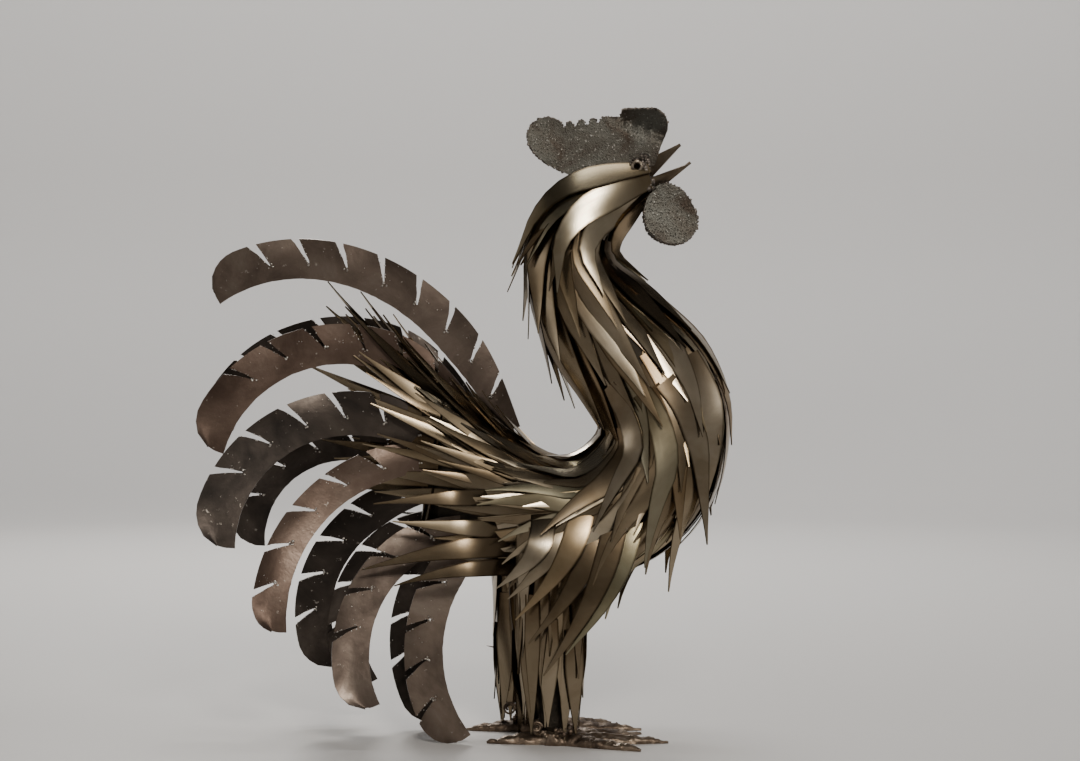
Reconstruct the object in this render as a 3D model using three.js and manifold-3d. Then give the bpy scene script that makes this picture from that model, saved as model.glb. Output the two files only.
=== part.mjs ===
// A crowing rooster welded from scrap steel: hundreds of pointed sheet blades lie
// like feathers over the neck, body and legs, with notched plates for the tail.
// Millimetres, +Z up, beak towards +X. The bird's right side is on -Y.
import * as THREE from "three";
import { mergeVertices } from "three/addons/utils/BufferGeometryUtils.js";
import Module from "manifold-3d";

const wasm = await Module();
wasm.setup();

// Sheet and plate thicknesses, and the gap left between two welded pieces
const TAIL_PLATE = 2.2;
const HEAD_PLATE = 3.2;
const WELD_GAP = 0.4;

// Edges shorter than this are closed up where blades cross
const TIDY = 0.05;

// The bird's side view: the nape, saddle and rump line, and the throat, breast and
// belly line opposite it, both from the beak to the tail, as [x, z]
const BACK_LINE = [
  [200, 632], [150, 628], [102, 611], [72, 578], [59, 532], [66, 474],
  [92, 415], [126, 370], [140, 340], [98, 311], [42, 340], [-24, 390],
];
const FRONT_LINE = [
  [206, 604], [185, 576], [169, 552], [165, 534], [174, 518], [217, 487],
  [270, 430], [294, 350], [268, 248], [190, 184], [70, 172], [-50, 194],
];
const HALF_WIDTHS = [18, 27, 34, 39, 43, 50, 61, 69, 75, 76, 64, 38];
const COAT_DEPTH = 8;
const LEAST_HALF_WIDTH = 6;
const LEAST_DEPTH_SHARE = 0.5;

// Blades: rows and columns over the head, the body and each leg, how far the tips stand
// off, how many rows a blade is long, and how long the last row's free blades are on top
const HEAD_COAT = { from: 0, to: 0.33, rows: 6, columns: 11, lift: 9, reach: 1.6, last: 2.6, seed: 5 };
const BODY_COAT = { from: 0.27, to: 1, rows: 16, columns: 20, lift: 12, reach: 1.5, last: 3.8, seed: 17 };
const LEG_COAT = { from: 0, to: 0.91, rows: 6, columns: 8, lift: 9, reach: 1.7, last: 1.7 };

// How unevenly the blades are set, how steeply they may stand, and where they flare and droop
const UNEVEN = { lift: 0.5, reach: 0.08, sway: 0.3 };
const STEEPEST = 0.2;
const SHOULDER = { inset: 0.32, height: 0.5 };
const NAPE_FLARE = { rise: 9, from: 0.3, to: 0.62 };
const RUMP_FLARE = { rise: 24, from: 0.85, to: 1.05 };
const FLANK_DROOP = { turn: 0.5, from: 0.5, to: 0.9 };

// The coat is welded up in four pieces: the neck above and ahead of the saddle, the body,
// and each leg below the belly
const NECK_FROM = { x: 62, z: 378 };
const LEG_TOP = 150;
const FAR = 500;

// Legs: hip and ankle places, and the blades that hang round them
const LEG_STANCE = 42;
const RIGHT_LEG_X = 98;
const LEFT_LEG_X = 72;
const HIP_HEIGHT = 250;
const ANKLE_HEIGHT = 8;
const HIP_RADIUS = 34;
const ANKLE_RADIUS = 18;
const LEG_FLATNESS = 0.8;
const LEG_TAPER = 0.7;

// Feet: three splayed front toes and a back toe, cut from plate and built up with weld
const TOE_HEIGHT = 12;
const TOE_HALF_WIDTH = 12;
const TOE_TIP = { halfWidth: 2, height: 2.4 };
const TOE_TAPER = [[0, 1], [0.45, 0.9], [0.72, 0.55], [1, 0]];
const TOE_SECTION = [[-1, 0], [1, 0], [0.75, 0.6], [0, 1], [-0.75, 0.6]];
const FRONT_TOES = [
  { angle: -32, length: 112 },
  { angle: 0, length: 122 },
  { angle: 30, length: 104 },
];
const BACK_TOE = { angle: 180, length: 76 };
const PAD_RADIUS = 20;
const PAD_TOP_SHARE = 0.8;

// Tail plates, rooted in the rump: [x, z] of the root, the heading there (90 is up,
// 180 is straight back), how fast the plate curls at its root and at its tip in
// degrees for each 100 mm, its length and width, where it sits across the rump,
// and how far its tip splays to that side
const TAIL_FEATHERS = [
  { name: "sickle_feather", root: [46, 338], heading: 110, curl: [14, 36],
    length: 425, width: 44, across: 0, splay: 6 },
  { name: "right_tail_feather_1", root: [-4, 361], heading: 123, curl: [36, 38],
    length: 358, width: 44, across: -8, splay: -30 },
  { name: "left_tail_feather_1", root: [-2, 365], heading: 121, curl: [36, 37],
    length: 350, width: 43, across: 8, splay: 36 },
  { name: "right_tail_feather_2", root: [-14, 310], heading: 134, curl: [36, 42],
    length: 352, width: 48, across: -15, splay: -58 },
  { name: "left_tail_feather_2", root: [-46, 292], heading: 138, curl: [44, 50],
    length: 284, width: 42, across: 15, splay: 58 },
  { name: "right_tail_feather_3", root: [-6, 304], heading: 166, curl: [36, 33],
    length: 318, width: 38, across: -22, splay: -62 },
  { name: "left_tail_feather_3", root: [-28, 272], heading: 183, curl: [34, 44],
    length: 296, width: 41, across: 22, splay: 62 },
  { name: "right_tail_feather_4", root: [4, 236], heading: 185, curl: [40, 44],
    length: 268, width: 40, across: -29, splay: -50 },
  { name: "left_tail_feather_4", root: [-20, 240], heading: 188, curl: [40, 46],
    length: 262, width: 40, across: 29, splay: 50 },
  { name: "right_tail_feather_5", root: [32, 238], heading: 212, curl: [34, 36],
    length: 277, width: 42, across: -20, splay: -26 },
  { name: "left_tail_feather_5", root: [12, 240], heading: 212, curl: [34, 36],
    length: 270, width: 42, across: 20, splay: 30 },
];
const NOTCH = { pitch: 44, mouth: 8, slot: 1.8, depth: 0.6, slant: 15, firstAt: 58 };
const BARB_BEND = 2.2;
const EDGE_STEP = 26;
const TANG = { widthShare: 0.6, lengthShare: 0.3 };
const TIP_ROUND = { lengthShare: 0.95, corners: [68, 46, 23] };
const SPLAY_POWER = 1.5;

// Head pieces
const COMB_FOOT = [[118, 609, 0], [205, 626, 0], [214, 650, -2]];
const COMB_FRONT = { centre: [199, 668], radius: [21, 22], from: 0, to: 150, bend: -7 };
const COMB_BACK = { centre: [88, 659], radius: [22, 22], from: 60, to: 200, bend: 4 };
const COMB_NAPE = [86, 631, 1];
const COMB_TEETH = { count: 4, first: [173, 679], step: [-16, -3], height: 8, gap: 2, foot: 7, top: 12 };
const LOBE_STEPS = 5;
const WATTLE = { centre: [227, 576], radius: 33, across: 7, splay: 7, narrowing: 0.72, lean: 9, step: 24 };
const EYE = { at: [186, 627], across: 14, flats: 13, hole: 3.2, height: 5 };
const UPPER_BEAK = { base: [201, 624], tip: [235, 651], halfWidth: 10, halfDepth: 9 };
const LOWER_BEAK = { base: [209, 610], tip: [246, 632], halfWidth: 9, halfDepth: 7 };

const SIDE_AXIS = new THREE.Vector3(0, 1, 0);
const radians = THREE.MathUtils.degToRad;
const { lerp, smoothstep } = THREE.MathUtils;

// A repeatable source of small differences between blades, from 0 to 1
function unevenness(seed) {
  let state = seed;
  return () => {
    state = (state * 1664525 + 1013904223) % 4294967296;
    return state / 4294967296;
  };
}

// A closed solid from a stack of rings with the same number of points
function skin(rings) {
  const sides = rings[0].length;
  const points = rings.flat();
  const faces = [];
  for (let r = 0; r + 1 < rings.length; r++) {
    for (let i = 0; i < sides; i++) {
      const a = r * sides + i;
      const b = r * sides + ((i + 1) % sides);
      faces.push(a, b, b + sides, a, b + sides, a + sides);
    }
  }
  const last = (rings.length - 1) * sides;
  for (let i = 1; i + 1 < sides; i++) {
    faces.push(0, i + 1, i);
    faces.push(last, last + i, last + i + 1);
  }
  const geometry = new THREE.BufferGeometry().setFromPoints(points);
  geometry.setIndex(faces);
  return geometry;
}

// A geometry as a solid that can be joined and cut, with its faces pointing out
function solid(geometry) {
  const bare = geometry.clone();
  bare.deleteAttribute("normal");
  bare.deleteAttribute("uv");
  const merged = mergeVertices(bare, 1e-3);
  const triVerts = new Uint32Array(merged.index.array);
  const vertProperties = merged.attributes.position.array;
  const made = new wasm.Manifold(new wasm.Mesh({ numProp: 3, vertProperties, triVerts }));
  if (made.volume() > 0) return made;
  for (let i = 0; i < triVerts.length; i += 3) {
    [triVerts[i + 1], triVerts[i + 2]] = [triVerts[i + 2], triVerts[i + 1]];
  }
  return new wasm.Manifold(new wasm.Mesh({ numProp: 3, vertProperties, triVerts }));
}

function joined(solids) {
  return solids.reduce((whole, piece) => whole.add(piece));
}

// The space a piece needs in its neighbour: itself and a weld gap all round
function seat(piece) {
  const shifts = [];
  for (const axis of [0, 1, 2]) {
    for (const way of [-WELD_GAP, WELD_GAP]) {
      const shift = [0, 0, 0];
      shift[axis] = way;
      shifts.push(shift);
    }
  }
  return joined(shifts.map((shift) => piece.translate(shift)));
}

// The one piece that stays when a cut has trimmed blade tips off. Closing up its short
// edges can part it again, so it is looked through until a single piece is left.
function largestPiece(whole) {
  let kept = whole.simplify(TIDY);
  let parts = kept.decompose();
  do {
    kept = parts.reduce((a, b) => (a.volume() > b.volume() ? a : b));
    parts = solid(toGeometry(kept)).decompose();
  } while (parts.length > 1);
  return kept;
}

function toGeometry(piece) {
  const mesh = piece.getMesh();
  const geometry = new THREE.BufferGeometry();
  geometry.setAttribute("position", new THREE.BufferAttribute(mesh.vertProperties, 3));
  geometry.setIndex(new THREE.BufferAttribute(mesh.triVerts, 1));
  geometry.computeVertexNormals();
  return geometry;
}

// The form under the coat, from the beak at t = 0 to the tail at t = 1, and past it in
// a straight line. Round the form, a = 0 is the back line and a = 180 degrees the breast.
const sideCurve = (line) =>
  new THREE.CatmullRomCurve3(line.map(([x, z]) => new THREE.Vector3(x, 0, z)), false, "catmullrom");
const backCurve = sideCurve(BACK_LINE);
const frontCurve = sideCurve(FRONT_LINE);
const widthCurve = new THREE.CatmullRomCurve3(
  HALF_WIDTHS.map((width) => new THREE.Vector3(width, 0, 0)), false, "catmullrom");

function formPoint(t, a) {
  if (t > 1) {
    const end = formPoint(1, a);
    const before = formPoint(0.98, a);
    return end.clone().addScaledVector(end.clone().sub(before), (t - 1) / 0.02);
  }
  const back = backCurve.getPoint(t);
  const front = frontCurve.getPoint(t);
  const centre = back.clone().add(front).multiplyScalar(0.5);
  const depth = back.sub(front).multiplyScalar(0.5);
  const bare = Math.max(LEAST_DEPTH_SHARE, 1 - COAT_DEPTH / depth.length());
  const width = Math.max(LEAST_HALF_WIDTH, widthCurve.getPoint(t).x - COAT_DEPTH);
  return centre.addScaledVector(depth, bare * Math.cos(a)).addScaledVector(SIDE_AXIS, width * Math.sin(a));
}

// A leg's form, from the hip at t = 0 to the ankle at t = 1
function legPoint(x, y) {
  return (t, a) => {
    const radius = lerp(HIP_RADIUS, ANKLE_RADIUS, Math.min(1, Math.pow(t, LEG_TAPER)));
    const height = lerp(HIP_HEIGHT, ANKLE_HEIGHT, t);
    return new THREE.Vector3(x + radius * Math.cos(a), y + radius * Math.sin(a) * LEG_FLATNESS, height);
  };
}

// The outward normal of a form, away from its middle line
function normalAt(point, t, a) {
  const along = point(t + 0.004, a).sub(point(t, a));
  const round = point(t, a + 0.02).sub(point(t, a - 0.02));
  const normal = along.cross(round).normalize();
  const outward = point(t, a).sub(point(t, a + Math.PI));
  return normal.dot(outward) < 0 ? normal.negate() : normal;
}

// A form closed all round by pointed blades that lap like scales: each has its root on
// one row, is widest on the next, and its tip stands off the form short of the row after it
function bladeCoat(point, { from, to, rows, columns, lift, reach, last, seed }) {
  const uneven = unevenness(seed);
  const points = [];
  const faces = [];
  const place = (t, a, height) => {
    const droop = FLANK_DROOP.turn * smoothstep(t, FLANK_DROOP.from, FLANK_DROOP.to);
    const turned = a + droop * Math.sin(a) * Math.abs(Math.sin(a));
    const normal = normalAt(point, Math.min(t, 0.99), turned);
    return points.push(point(t, turned).addScaledVector(normal, height)) - 1;
  };
  const rowAt = (j) => lerp(from, to, j / rows);
  const angleAt = (j, k) => ((k + (j % 2) / 2) / columns) * 2 * Math.PI;
  const lattice = [];
  for (let j = 0; j <= rows; j++) {
    lattice.push([]);
    for (let k = 0; k < columns; k++) lattice[j].push(place(rowAt(j), angleAt(j, k), 0));
  }
  const site = (j, k) => lattice[j][(k + columns) % columns];
  const cornerAt = (j, k) => k + (j % 2);
  const pitch = (2 * Math.PI) / columns;
  for (let j = 0; j + 2 <= rows; j++) {
    for (let k = 0; k < columns; k++) {
      const root = site(j, k);
      const end = site(j + 2, k);
      const right = site(j + 1, cornerAt(j, k));
      const left = site(j + 1, cornerAt(j, k) - 1);
      const a = angleAt(j, k);
      const long = j + 2 === rows ? lerp(reach, last, (1 + Math.cos(a)) / 2) : reach;
      const tipT = rowAt(j + long * lerp(1 - UNEVEN.reach, 1, uneven()));
      const tipA = a + UNEVEN.sway * pitch * (uneven() - 0.5);
      const nape = NAPE_FLARE.rise * (1 - smoothstep(tipT, NAPE_FLARE.from, NAPE_FLARE.to));
      const rump = RUMP_FLARE.rise * smoothstep(tipT, RUMP_FLARE.from, RUMP_FLARE.to);
      const back = Math.max(0, Math.cos(a));
      const steepest = STEEPEST * point(tipT, a).distanceTo(point(rowAt(j), a));
      const standOff = Math.min(steepest, lift * lerp(1 - UNEVEN.lift, 1, uneven()));
      const height = standOff + back * (nape + rump);
      const tip = place(tipT, tipA, height);
      const shoulderT = (rowAt(j + 1) + tipT) / 2;
      const shoulderHeight = height * SHOULDER.height;
      const shoulderRight = place(shoulderT, lerp(a + pitch / 2, tipA, SHOULDER.inset), shoulderHeight);
      const shoulderLeft = place(shoulderT, lerp(a - pitch / 2, tipA, SHOULDER.inset), shoulderHeight);
      faces.push(root, right, shoulderRight, root, shoulderRight, tip);
      faces.push(root, tip, shoulderLeft, root, shoulderLeft, left);
      faces.push(right, end, shoulderRight, shoulderRight, end, tip);
      faces.push(tip, end, shoulderLeft, shoulderLeft, end, left);
    }
  }
  for (let k = 0; k < columns; k++) {
    faces.push(site(1, k), site(0, k), site(0, k + 1));
    faces.push(site(rows, k), site(rows - 1, cornerAt(rows, k)), site(rows, k + 1));
  }
  for (let k = 1; k + 1 < columns; k++) {
    faces.push(site(0, 0), site(0, k + 1), site(0, k));
    faces.push(site(rows, 0), site(rows, k), site(rows, k + 1));
  }
  const geometry = new THREE.BufferGeometry().setFromPoints(points);
  geometry.setIndex(faces);
  return solid(geometry);
}

// A box that the coat is parted by
function room([x0, y0, z0], [x1, y1, z1]) {
  const box = new THREE.BoxGeometry(x1 - x0, y1 - y0, z1 - z0);
  return solid(box.translate((x0 + x1) / 2, (y0 + y1) / 2, (z0 + z1) / 2));
}

// A tail plate: the middle line curls faster towards the tip, the inner edge is plain,
// and slanted notches part the outer edge into barbs that are bent to either side
function tailFeather({ root, heading, curl, length, width, across, splay }) {
  const middle = [];
  const step = 1;
  let x = root[0];
  let z = root[1];
  let turn = heading;
  for (let s = 0; s <= length; s += step) {
    middle.push({ x, z, turn });
    x += Math.cos(radians(turn)) * step;
    z += Math.sin(radians(turn)) * step;
    turn += (lerp(curl[0], curl[1], s / length) * step) / 100;
  }
  const place = (s, offset) => {
    const m = middle[Math.round(THREE.MathUtils.clamp(s, 0, middle.length - 1))];
    const barb = Math.floor((s - NOTCH.firstAt) / NOTCH.pitch) % 2 === 0 ? 1 : -1;
    const bend = offset > 0 ? (barb * BARB_BEND * offset) / (width / 2) : 0;
    return {
      x: m.x + Math.sin(radians(m.turn)) * offset,
      z: m.z - Math.cos(radians(m.turn)) * offset,
      y: across + splay * Math.pow(s / length, SPLAY_POWER) + bend,
    };
  };
  const halfAt = (s) => (width / 2) * lerp(TANG.widthShare, 1, smoothstep(s, 0, length * TANG.lengthShare));
  const outline = [];
  for (let s = 0; s < length - EDGE_STEP / 2; s += EDGE_STEP) outline.push(place(s, -halfAt(s)));
  outline.push(place(length, -width / 2));
  const roundAt = length - width * TIP_ROUND.lengthShare;
  for (const degrees of TIP_ROUND.corners) {
    const s = roundAt + (length - roundAt) * Math.sin(radians(degrees));
    outline.push(place(s, -width / 2 + width * Math.cos(radians(degrees))));
  }
  const notches = Math.floor((roundAt - NOTCH.firstAt) / NOTCH.pitch);
  for (let n = notches; n >= 0; n--) {
    const s = NOTCH.firstAt + n * NOTCH.pitch;
    const half = halfAt(s);
    const mouth = n === notches ? NOTCH.mouth / 2 : NOTCH.mouth;
    const floor = half - 2 * half * NOTCH.depth;
    outline.push(place(s + mouth / 2, half));
    outline.push(place(s - NOTCH.slant + NOTCH.slot / 2, floor));
    outline.push(place(s - NOTCH.slant - NOTCH.slot / 2, floor));
    outline.push(place(s - mouth / 2, half));
  }
  outline.push(place(0, halfAt(0)));
  return bentPlate(outline, TAIL_PLATE);
}

// A plate cut to an outline in the side view, then bent across to each point's own y
function bentPlate(outline, thickness) {
  const shape = new THREE.Shape(outline.map(({ x, z }) => new THREE.Vector2(x, z)));
  const geometry = new THREE.ExtrudeGeometry(shape, { depth: thickness, bevelEnabled: false });
  geometry.rotateX(Math.PI / 2);
  const position = geometry.attributes.position;
  for (let i = 0; i < position.count; i++) {
    const away = (corner) => Math.hypot(corner.x - position.getX(i), corner.z - position.getZ(i));
    const nearest = outline.reduce((a, b) => (away(a) < away(b) ? a : b));
    position.setY(i, position.getY(i) + thickness / 2 + nearest.y);
  }
  return solid(geometry);
}

// The comb: one plate with a round lobe at the back, saw teeth along the top, and a
// taller round lobe in front that is bent to the right
function comb() {
  const outline = COMB_FOOT.map(([x, z, y]) => ({ x, z, y }));
  const lobe = ({ centre, radius, from, to, bend }) => {
    for (let i = 0; i <= LOBE_STEPS; i++) {
      const angle = radians(lerp(from, to, i / LOBE_STEPS));
      const x = centre[0] + radius[0] * Math.cos(angle);
      const z = centre[1] + radius[1] * Math.sin(angle);
      outline.push({ x, z, y: bend });
    }
  };
  lobe(COMB_FRONT);
  const { count, first, step, height, gap, foot: toothFoot, top } = COMB_TEETH;
  for (let n = 0; n < count; n++) {
    const x = first[0] + n * step[0];
    const z = first[1] + n * step[1];
    outline.push({ x: x - gap, z: z - height, y: 0 }, { x: x - toothFoot, z, y: 0 }, { x: x - top, z, y: 0 });
  }
  lobe(COMB_BACK);
  const [x, z, y] = COMB_NAPE;
  outline.push({ x, z, y });
  return bentPlate(outline.reverse(), HEAD_PLATE);
}

// A wattle: a round plate drawn up to the jaw, one on each side
function wattle(side) {
  const [cx, cz] = WATTLE.centre;
  const outline = [];
  for (let degrees = 0; degrees < 360; degrees += WATTLE.step) {
    const angle = radians(degrees);
    const drop = (1 - Math.sin(angle)) / 2;
    outline.push({
      x: cx + WATTLE.radius * Math.cos(angle) * lerp(WATTLE.narrowing, 1, drop) - WATTLE.lean * (1 - drop),
      z: cz + WATTLE.radius * Math.sin(angle),
      y: side * (WATTLE.across + WATTLE.splay * drop),
    });
  }
  return bentPlate(outline, HEAD_PLATE);
}

// Half of the beak: a folded steel spike
function beak({ base, tip, halfWidth, halfDepth }) {
  const axis = new THREE.Vector3(tip[0] - base[0], 0, tip[1] - base[1]).normalize();
  const up = new THREE.Vector3(-axis.z, 0, axis.x);
  const ringAt = (point, share) => {
    const centre = new THREE.Vector3(point[0], 0, point[1]);
    return [[0, 1], [-1, 0], [0, -1], [1, 0]].map(([wide, deep]) => {
      const corner = centre.clone().addScaledVector(SIDE_AXIS, wide * halfWidth * share);
      return corner.addScaledVector(up, deep * halfDepth * share);
    });
  };
  return solid(skin([ringAt(base, 1), ringAt(tip, 0.05)]));
}

// An eye: a hexagon nut laid on the cheek
function eyeNut(side) {
  const nut = new THREE.CylinderGeometry(EYE.flats / Math.sqrt(3), EYE.flats / Math.sqrt(3), EYE.height, 6);
  const hole = new THREE.CylinderGeometry(EYE.hole, EYE.hole, EYE.height * 2, 12);
  const middle = side * (EYE.across + EYE.height / 2);
  return solid(nut).subtract(solid(hole)).translate([EYE.at[0], middle, EYE.at[1]]);
}

// A foot: toes that taper from the pad under the leg, flat underneath
function toe(x, y, { angle, length }) {
  const along = new THREE.Vector3(Math.cos(radians(angle)), Math.sin(radians(angle)), 0);
  const across = new THREE.Vector3(-along.y, along.x, 0);
  const rings = TOE_TAPER.map(([far, share]) => {
    const half = lerp(TOE_TIP.halfWidth, TOE_HALF_WIDTH, share);
    const height = lerp(TOE_TIP.height, TOE_HEIGHT, share);
    return TOE_SECTION.map(([side, up]) => {
      const corner = new THREE.Vector3(x, y, up * height).addScaledVector(along, far * length);
      return corner.addScaledVector(across, side * half);
    });
  });
  return solid(skin(rings));
}

function foot(x, y, side) {
  const toes = [...FRONT_TOES, BACK_TOE].map(({ angle, length }) =>
    toe(x, y, { angle: -side * angle, length }));
  const pad = new THREE.CylinderGeometry(PAD_RADIUS * PAD_TOP_SHARE, PAD_RADIUS, TOE_HEIGHT, 10);
  pad.rotateX(Math.PI / 2);
  pad.translate(x, y, TOE_HEIGHT / 2);
  return joined([solid(pad), ...toes]);
}

const finishes = {
  blade: new THREE.MeshStandardMaterial({ color: 0x8c7f68, metalness: 0.95, roughness: 0.32 }),
  tail: new THREE.MeshStandardMaterial({ color: 0x4a3a30, metalness: 0.8, roughness: 0.5 }),
  pitted: new THREE.MeshStandardMaterial({ color: 0x5c584f, metalness: 0.85, roughness: 0.5 }),
  weld: new THREE.MeshStandardMaterial({ color: 0x5a4a3c, metalness: 0.85, roughness: 0.55 }),
};

// Pieces in the order in which they are welded on: each is trimmed round the ones before it
const rooster = new THREE.Group();
const welded = [];

function weldOn(name, finish, piece, touching = welded) {
  const neighbours = touching.map(seat).filter((room) => room.intersect(piece).volume() > 0);
  const trimmed = neighbours.length ? largestPiece(piece.subtract(joined(neighbours))) : piece;
  const mesh = new THREE.Mesh(toGeometry(trimmed), finishes[finish]);
  mesh.name = name;
  rooster.add(mesh);
  welded.push(trimmed);
}

weldOn("right_foot", "weld", foot(RIGHT_LEG_X, -LEG_STANCE, 1));
weldOn("left_foot", "weld", foot(LEFT_LEG_X, LEG_STANCE, -1));
TAIL_FEATHERS.forEach((feather) => weldOn(feather.name, "tail", tailFeather(feather)));
weldOn("upper_beak", "weld", beak(UPPER_BEAK));
weldOn("lower_beak", "weld", beak(LOWER_BEAK));
weldOn("comb", "pitted", comb());
weldOn("right_wattle", "pitted", wattle(-1));
weldOn("left_wattle", "pitted", wattle(1));
weldOn("right_eye_nut", "weld", eyeNut(-1));
weldOn("left_eye_nut", "weld", eyeNut(1));

const rightLeg = legPoint(RIGHT_LEG_X, -LEG_STANCE);
const leftLeg = legPoint(LEFT_LEG_X, LEG_STANCE);
const coat = joined([
  bladeCoat(formPoint, BODY_COAT),
  bladeCoat(formPoint, HEAD_COAT),
  bladeCoat(rightLeg, { ...LEG_COAT, seed: 21 }),
  bladeCoat(leftLeg, { ...LEG_COAT, seed: 43 }),
]);
const fittings = [...welded];
const legTop = LEG_TOP - WELD_GAP;
const neckRoom = room([NECK_FROM.x, -FAR, NECK_FROM.z], [FAR, FAR, 2 * FAR]);
const neckGap = room([NECK_FROM.x - WELD_GAP, -FAR, NECK_FROM.z - WELD_GAP], [FAR, FAR, 2 * FAR]);
const bodyRoom = room([-FAR, -FAR, LEG_TOP], [FAR, FAR, 2 * FAR]);
weldOn("neck_blades", "blade", coat.intersect(neckRoom), fittings);
weldOn("body_blades", "blade", coat.intersect(bodyRoom).subtract(neckGap), fittings);
weldOn("right_leg_blades", "blade", coat.intersect(room([-FAR, -FAR, 0], [FAR, 0, legTop])), fittings);
weldOn("left_leg_blades", "blade", coat.intersect(room([-FAR, 0, 0], [FAR, FAR, legTop])), fittings);

// The origin lies on the ground under the middle of the bird
const extent = new THREE.Box3().setFromObject(rooster);
const middle = extent.getCenter(new THREE.Vector3());
rooster.children.forEach((mesh) => mesh.position.set(-middle.x, -middle.y, -extent.min.z));

export default rooster;
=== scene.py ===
import math
import random
from itertools import combinations

import bmesh
import bpy
import numpy as np
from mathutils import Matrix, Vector, noise


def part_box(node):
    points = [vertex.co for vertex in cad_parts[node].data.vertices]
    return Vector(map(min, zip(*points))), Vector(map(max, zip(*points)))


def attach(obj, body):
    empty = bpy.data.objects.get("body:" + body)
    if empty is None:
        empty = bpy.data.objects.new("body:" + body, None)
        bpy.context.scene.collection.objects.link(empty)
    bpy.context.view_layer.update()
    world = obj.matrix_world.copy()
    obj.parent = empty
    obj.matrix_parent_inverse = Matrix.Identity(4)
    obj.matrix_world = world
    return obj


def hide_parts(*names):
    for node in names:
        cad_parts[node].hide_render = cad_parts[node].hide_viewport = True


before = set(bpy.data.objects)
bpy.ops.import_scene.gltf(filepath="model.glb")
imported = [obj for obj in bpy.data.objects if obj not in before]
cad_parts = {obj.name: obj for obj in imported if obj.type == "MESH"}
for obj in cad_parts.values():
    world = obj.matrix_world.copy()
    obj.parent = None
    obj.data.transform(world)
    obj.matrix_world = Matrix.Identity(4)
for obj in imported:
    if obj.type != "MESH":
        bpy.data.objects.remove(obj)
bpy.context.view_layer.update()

# Neck and body feathers: pointed blades cut from thin satin steel sheet, crowned by hand
# and welded at the root, row over row from the beak to the tail. They lie on a form with
# the side view's back and breast lines, given here in metres from the ground point.
BACK_LINE = [
    (0.200, 0.632), (0.150, 0.628), (0.102, 0.611), (0.072, 0.578), (0.059, 0.532), (0.066, 0.474),
    (0.092, 0.415), (0.126, 0.370), (0.140, 0.340), (0.098, 0.311), (0.042, 0.340), (-0.024, 0.390),
]
BREAST_LINE = [
    (0.206, 0.604), (0.185, 0.576), (0.169, 0.552), (0.165, 0.534), (0.174, 0.518), (0.217, 0.487),
    (0.270, 0.430), (0.294, 0.350), (0.268, 0.248), (0.190, 0.184), (0.070, 0.172), (-0.050, 0.194),
]
HALF_WIDTHS = [0.018, 0.027, 0.034, 0.039, 0.043, 0.050, 0.061, 0.069, 0.075, 0.076, 0.064, 0.038]
COAT_DEPTH = 0.009
LEAST_HALF_WIDTH = 0.006
LEAST_CORE_SHARE = 0.5
END_STEP = 0.02
LAST_NORMAL = 0.985
NORMAL_STEP = 0.004
NORMAL_TURN = 0.02
# A blade keeps its width for a share of its length, and is then drawn to a point
BLADE_SHEET = 0.0011
BLADE_CROWN = 0.04
BLADE_CREASE_DEG = 40
BLADE_STEPS = 12
BLADE_SPANS = 4
BLADE_SHARES = [k / BLADE_STEPS for k in range(BLADE_STEPS + 1)]
TAPER_FROM = 0.36
TAPER_POWER = 1.2
POINT_HALF_WIDTH = 0.0006
ROOT_SWELL_TO = 0.35
LIFT_POWER = 1.4
FREE_RISE = 0.02
PACE_STEP = 0.01
LEAST_PACE = 0.05
RIGHT_FOOT_X = 0.098
BACK_TOE_REACH = 0.076
# The solids stand this far from the point that the lines are drawn from
ground_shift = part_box("right_foot")[0][0] - (RIGHT_FOOT_X - BACK_TOE_REACH)
chance = random.Random(11)


def mix(a, b, share):
    return a + (b - a) * share


def ease(value, low, high):
    x = min(1.0, max(0.0, (value - low) / (high - low)))
    return x * x * (3 - 2 * x)


def along_line(values, t):
    """A smooth curve through evenly spaced values, for t from 0 to 1."""
    values = np.asarray(values, dtype=float)
    i = min(int(t * (len(values) - 1)), len(values) - 2)
    x = t * (len(values) - 1) - i
    p1, p2 = values[i], values[i + 1]
    p0 = values[i - 1] if i > 0 else 2 * p1 - p2
    p3 = values[i + 2] if i + 2 < len(values) else 2 * p2 - p1
    square = 2 * p0 - 5 * p1 + 4 * p2 - p3
    cube = 3 * p1 - 3 * p2 + p3 - p0
    return 0.5 * (2 * p1 + (p2 - p0) * x + square * x**2 + cube * x**3)


def body_point(t, a):
    """A point of the form: t runs from beak to tail, a from the back line round to the breast."""
    if t > 1:
        end = body_point(1.0, a)
        return end + (end - body_point(1 - END_STEP, a)) * ((t - 1) / END_STEP)
    back, breast = along_line(BACK_LINE, t), along_line(BREAST_LINE, t)
    depth = (back - breast) / 2
    bare = max(LEAST_CORE_SHARE, 1 - COAT_DEPTH / np.linalg.norm(depth))
    x, z = (back + breast) / 2 + depth * bare * math.cos(a)
    width = max(LEAST_HALF_WIDTH, along_line(HALF_WIDTHS, t) - COAT_DEPTH)
    return np.array([x + ground_shift, width * math.sin(a), z])


def form_normal(point, t, a):
    """The form's outward normal, held as it is just before the end."""
    t = min(t, LAST_NORMAL)
    along = point(t + NORMAL_STEP, a) - point(t, a)
    around = point(t, a + NORMAL_TURN) - point(t, a - NORMAL_TURN)
    normal = np.cross(along, around)
    normal = normal / np.linalg.norm(normal)
    outward = point(t, a) - point(t, a + math.pi)
    return normal if normal @ outward > 0 else -normal


def blade_half(half, share):
    """Half a blade's width at a share of its length."""
    pointed = max(0.0, (share - TAPER_FROM) / (1 - TAPER_FROM)) ** TAPER_POWER
    return max(POINT_HALF_WIDTH, half * (1 - pointed))


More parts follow.
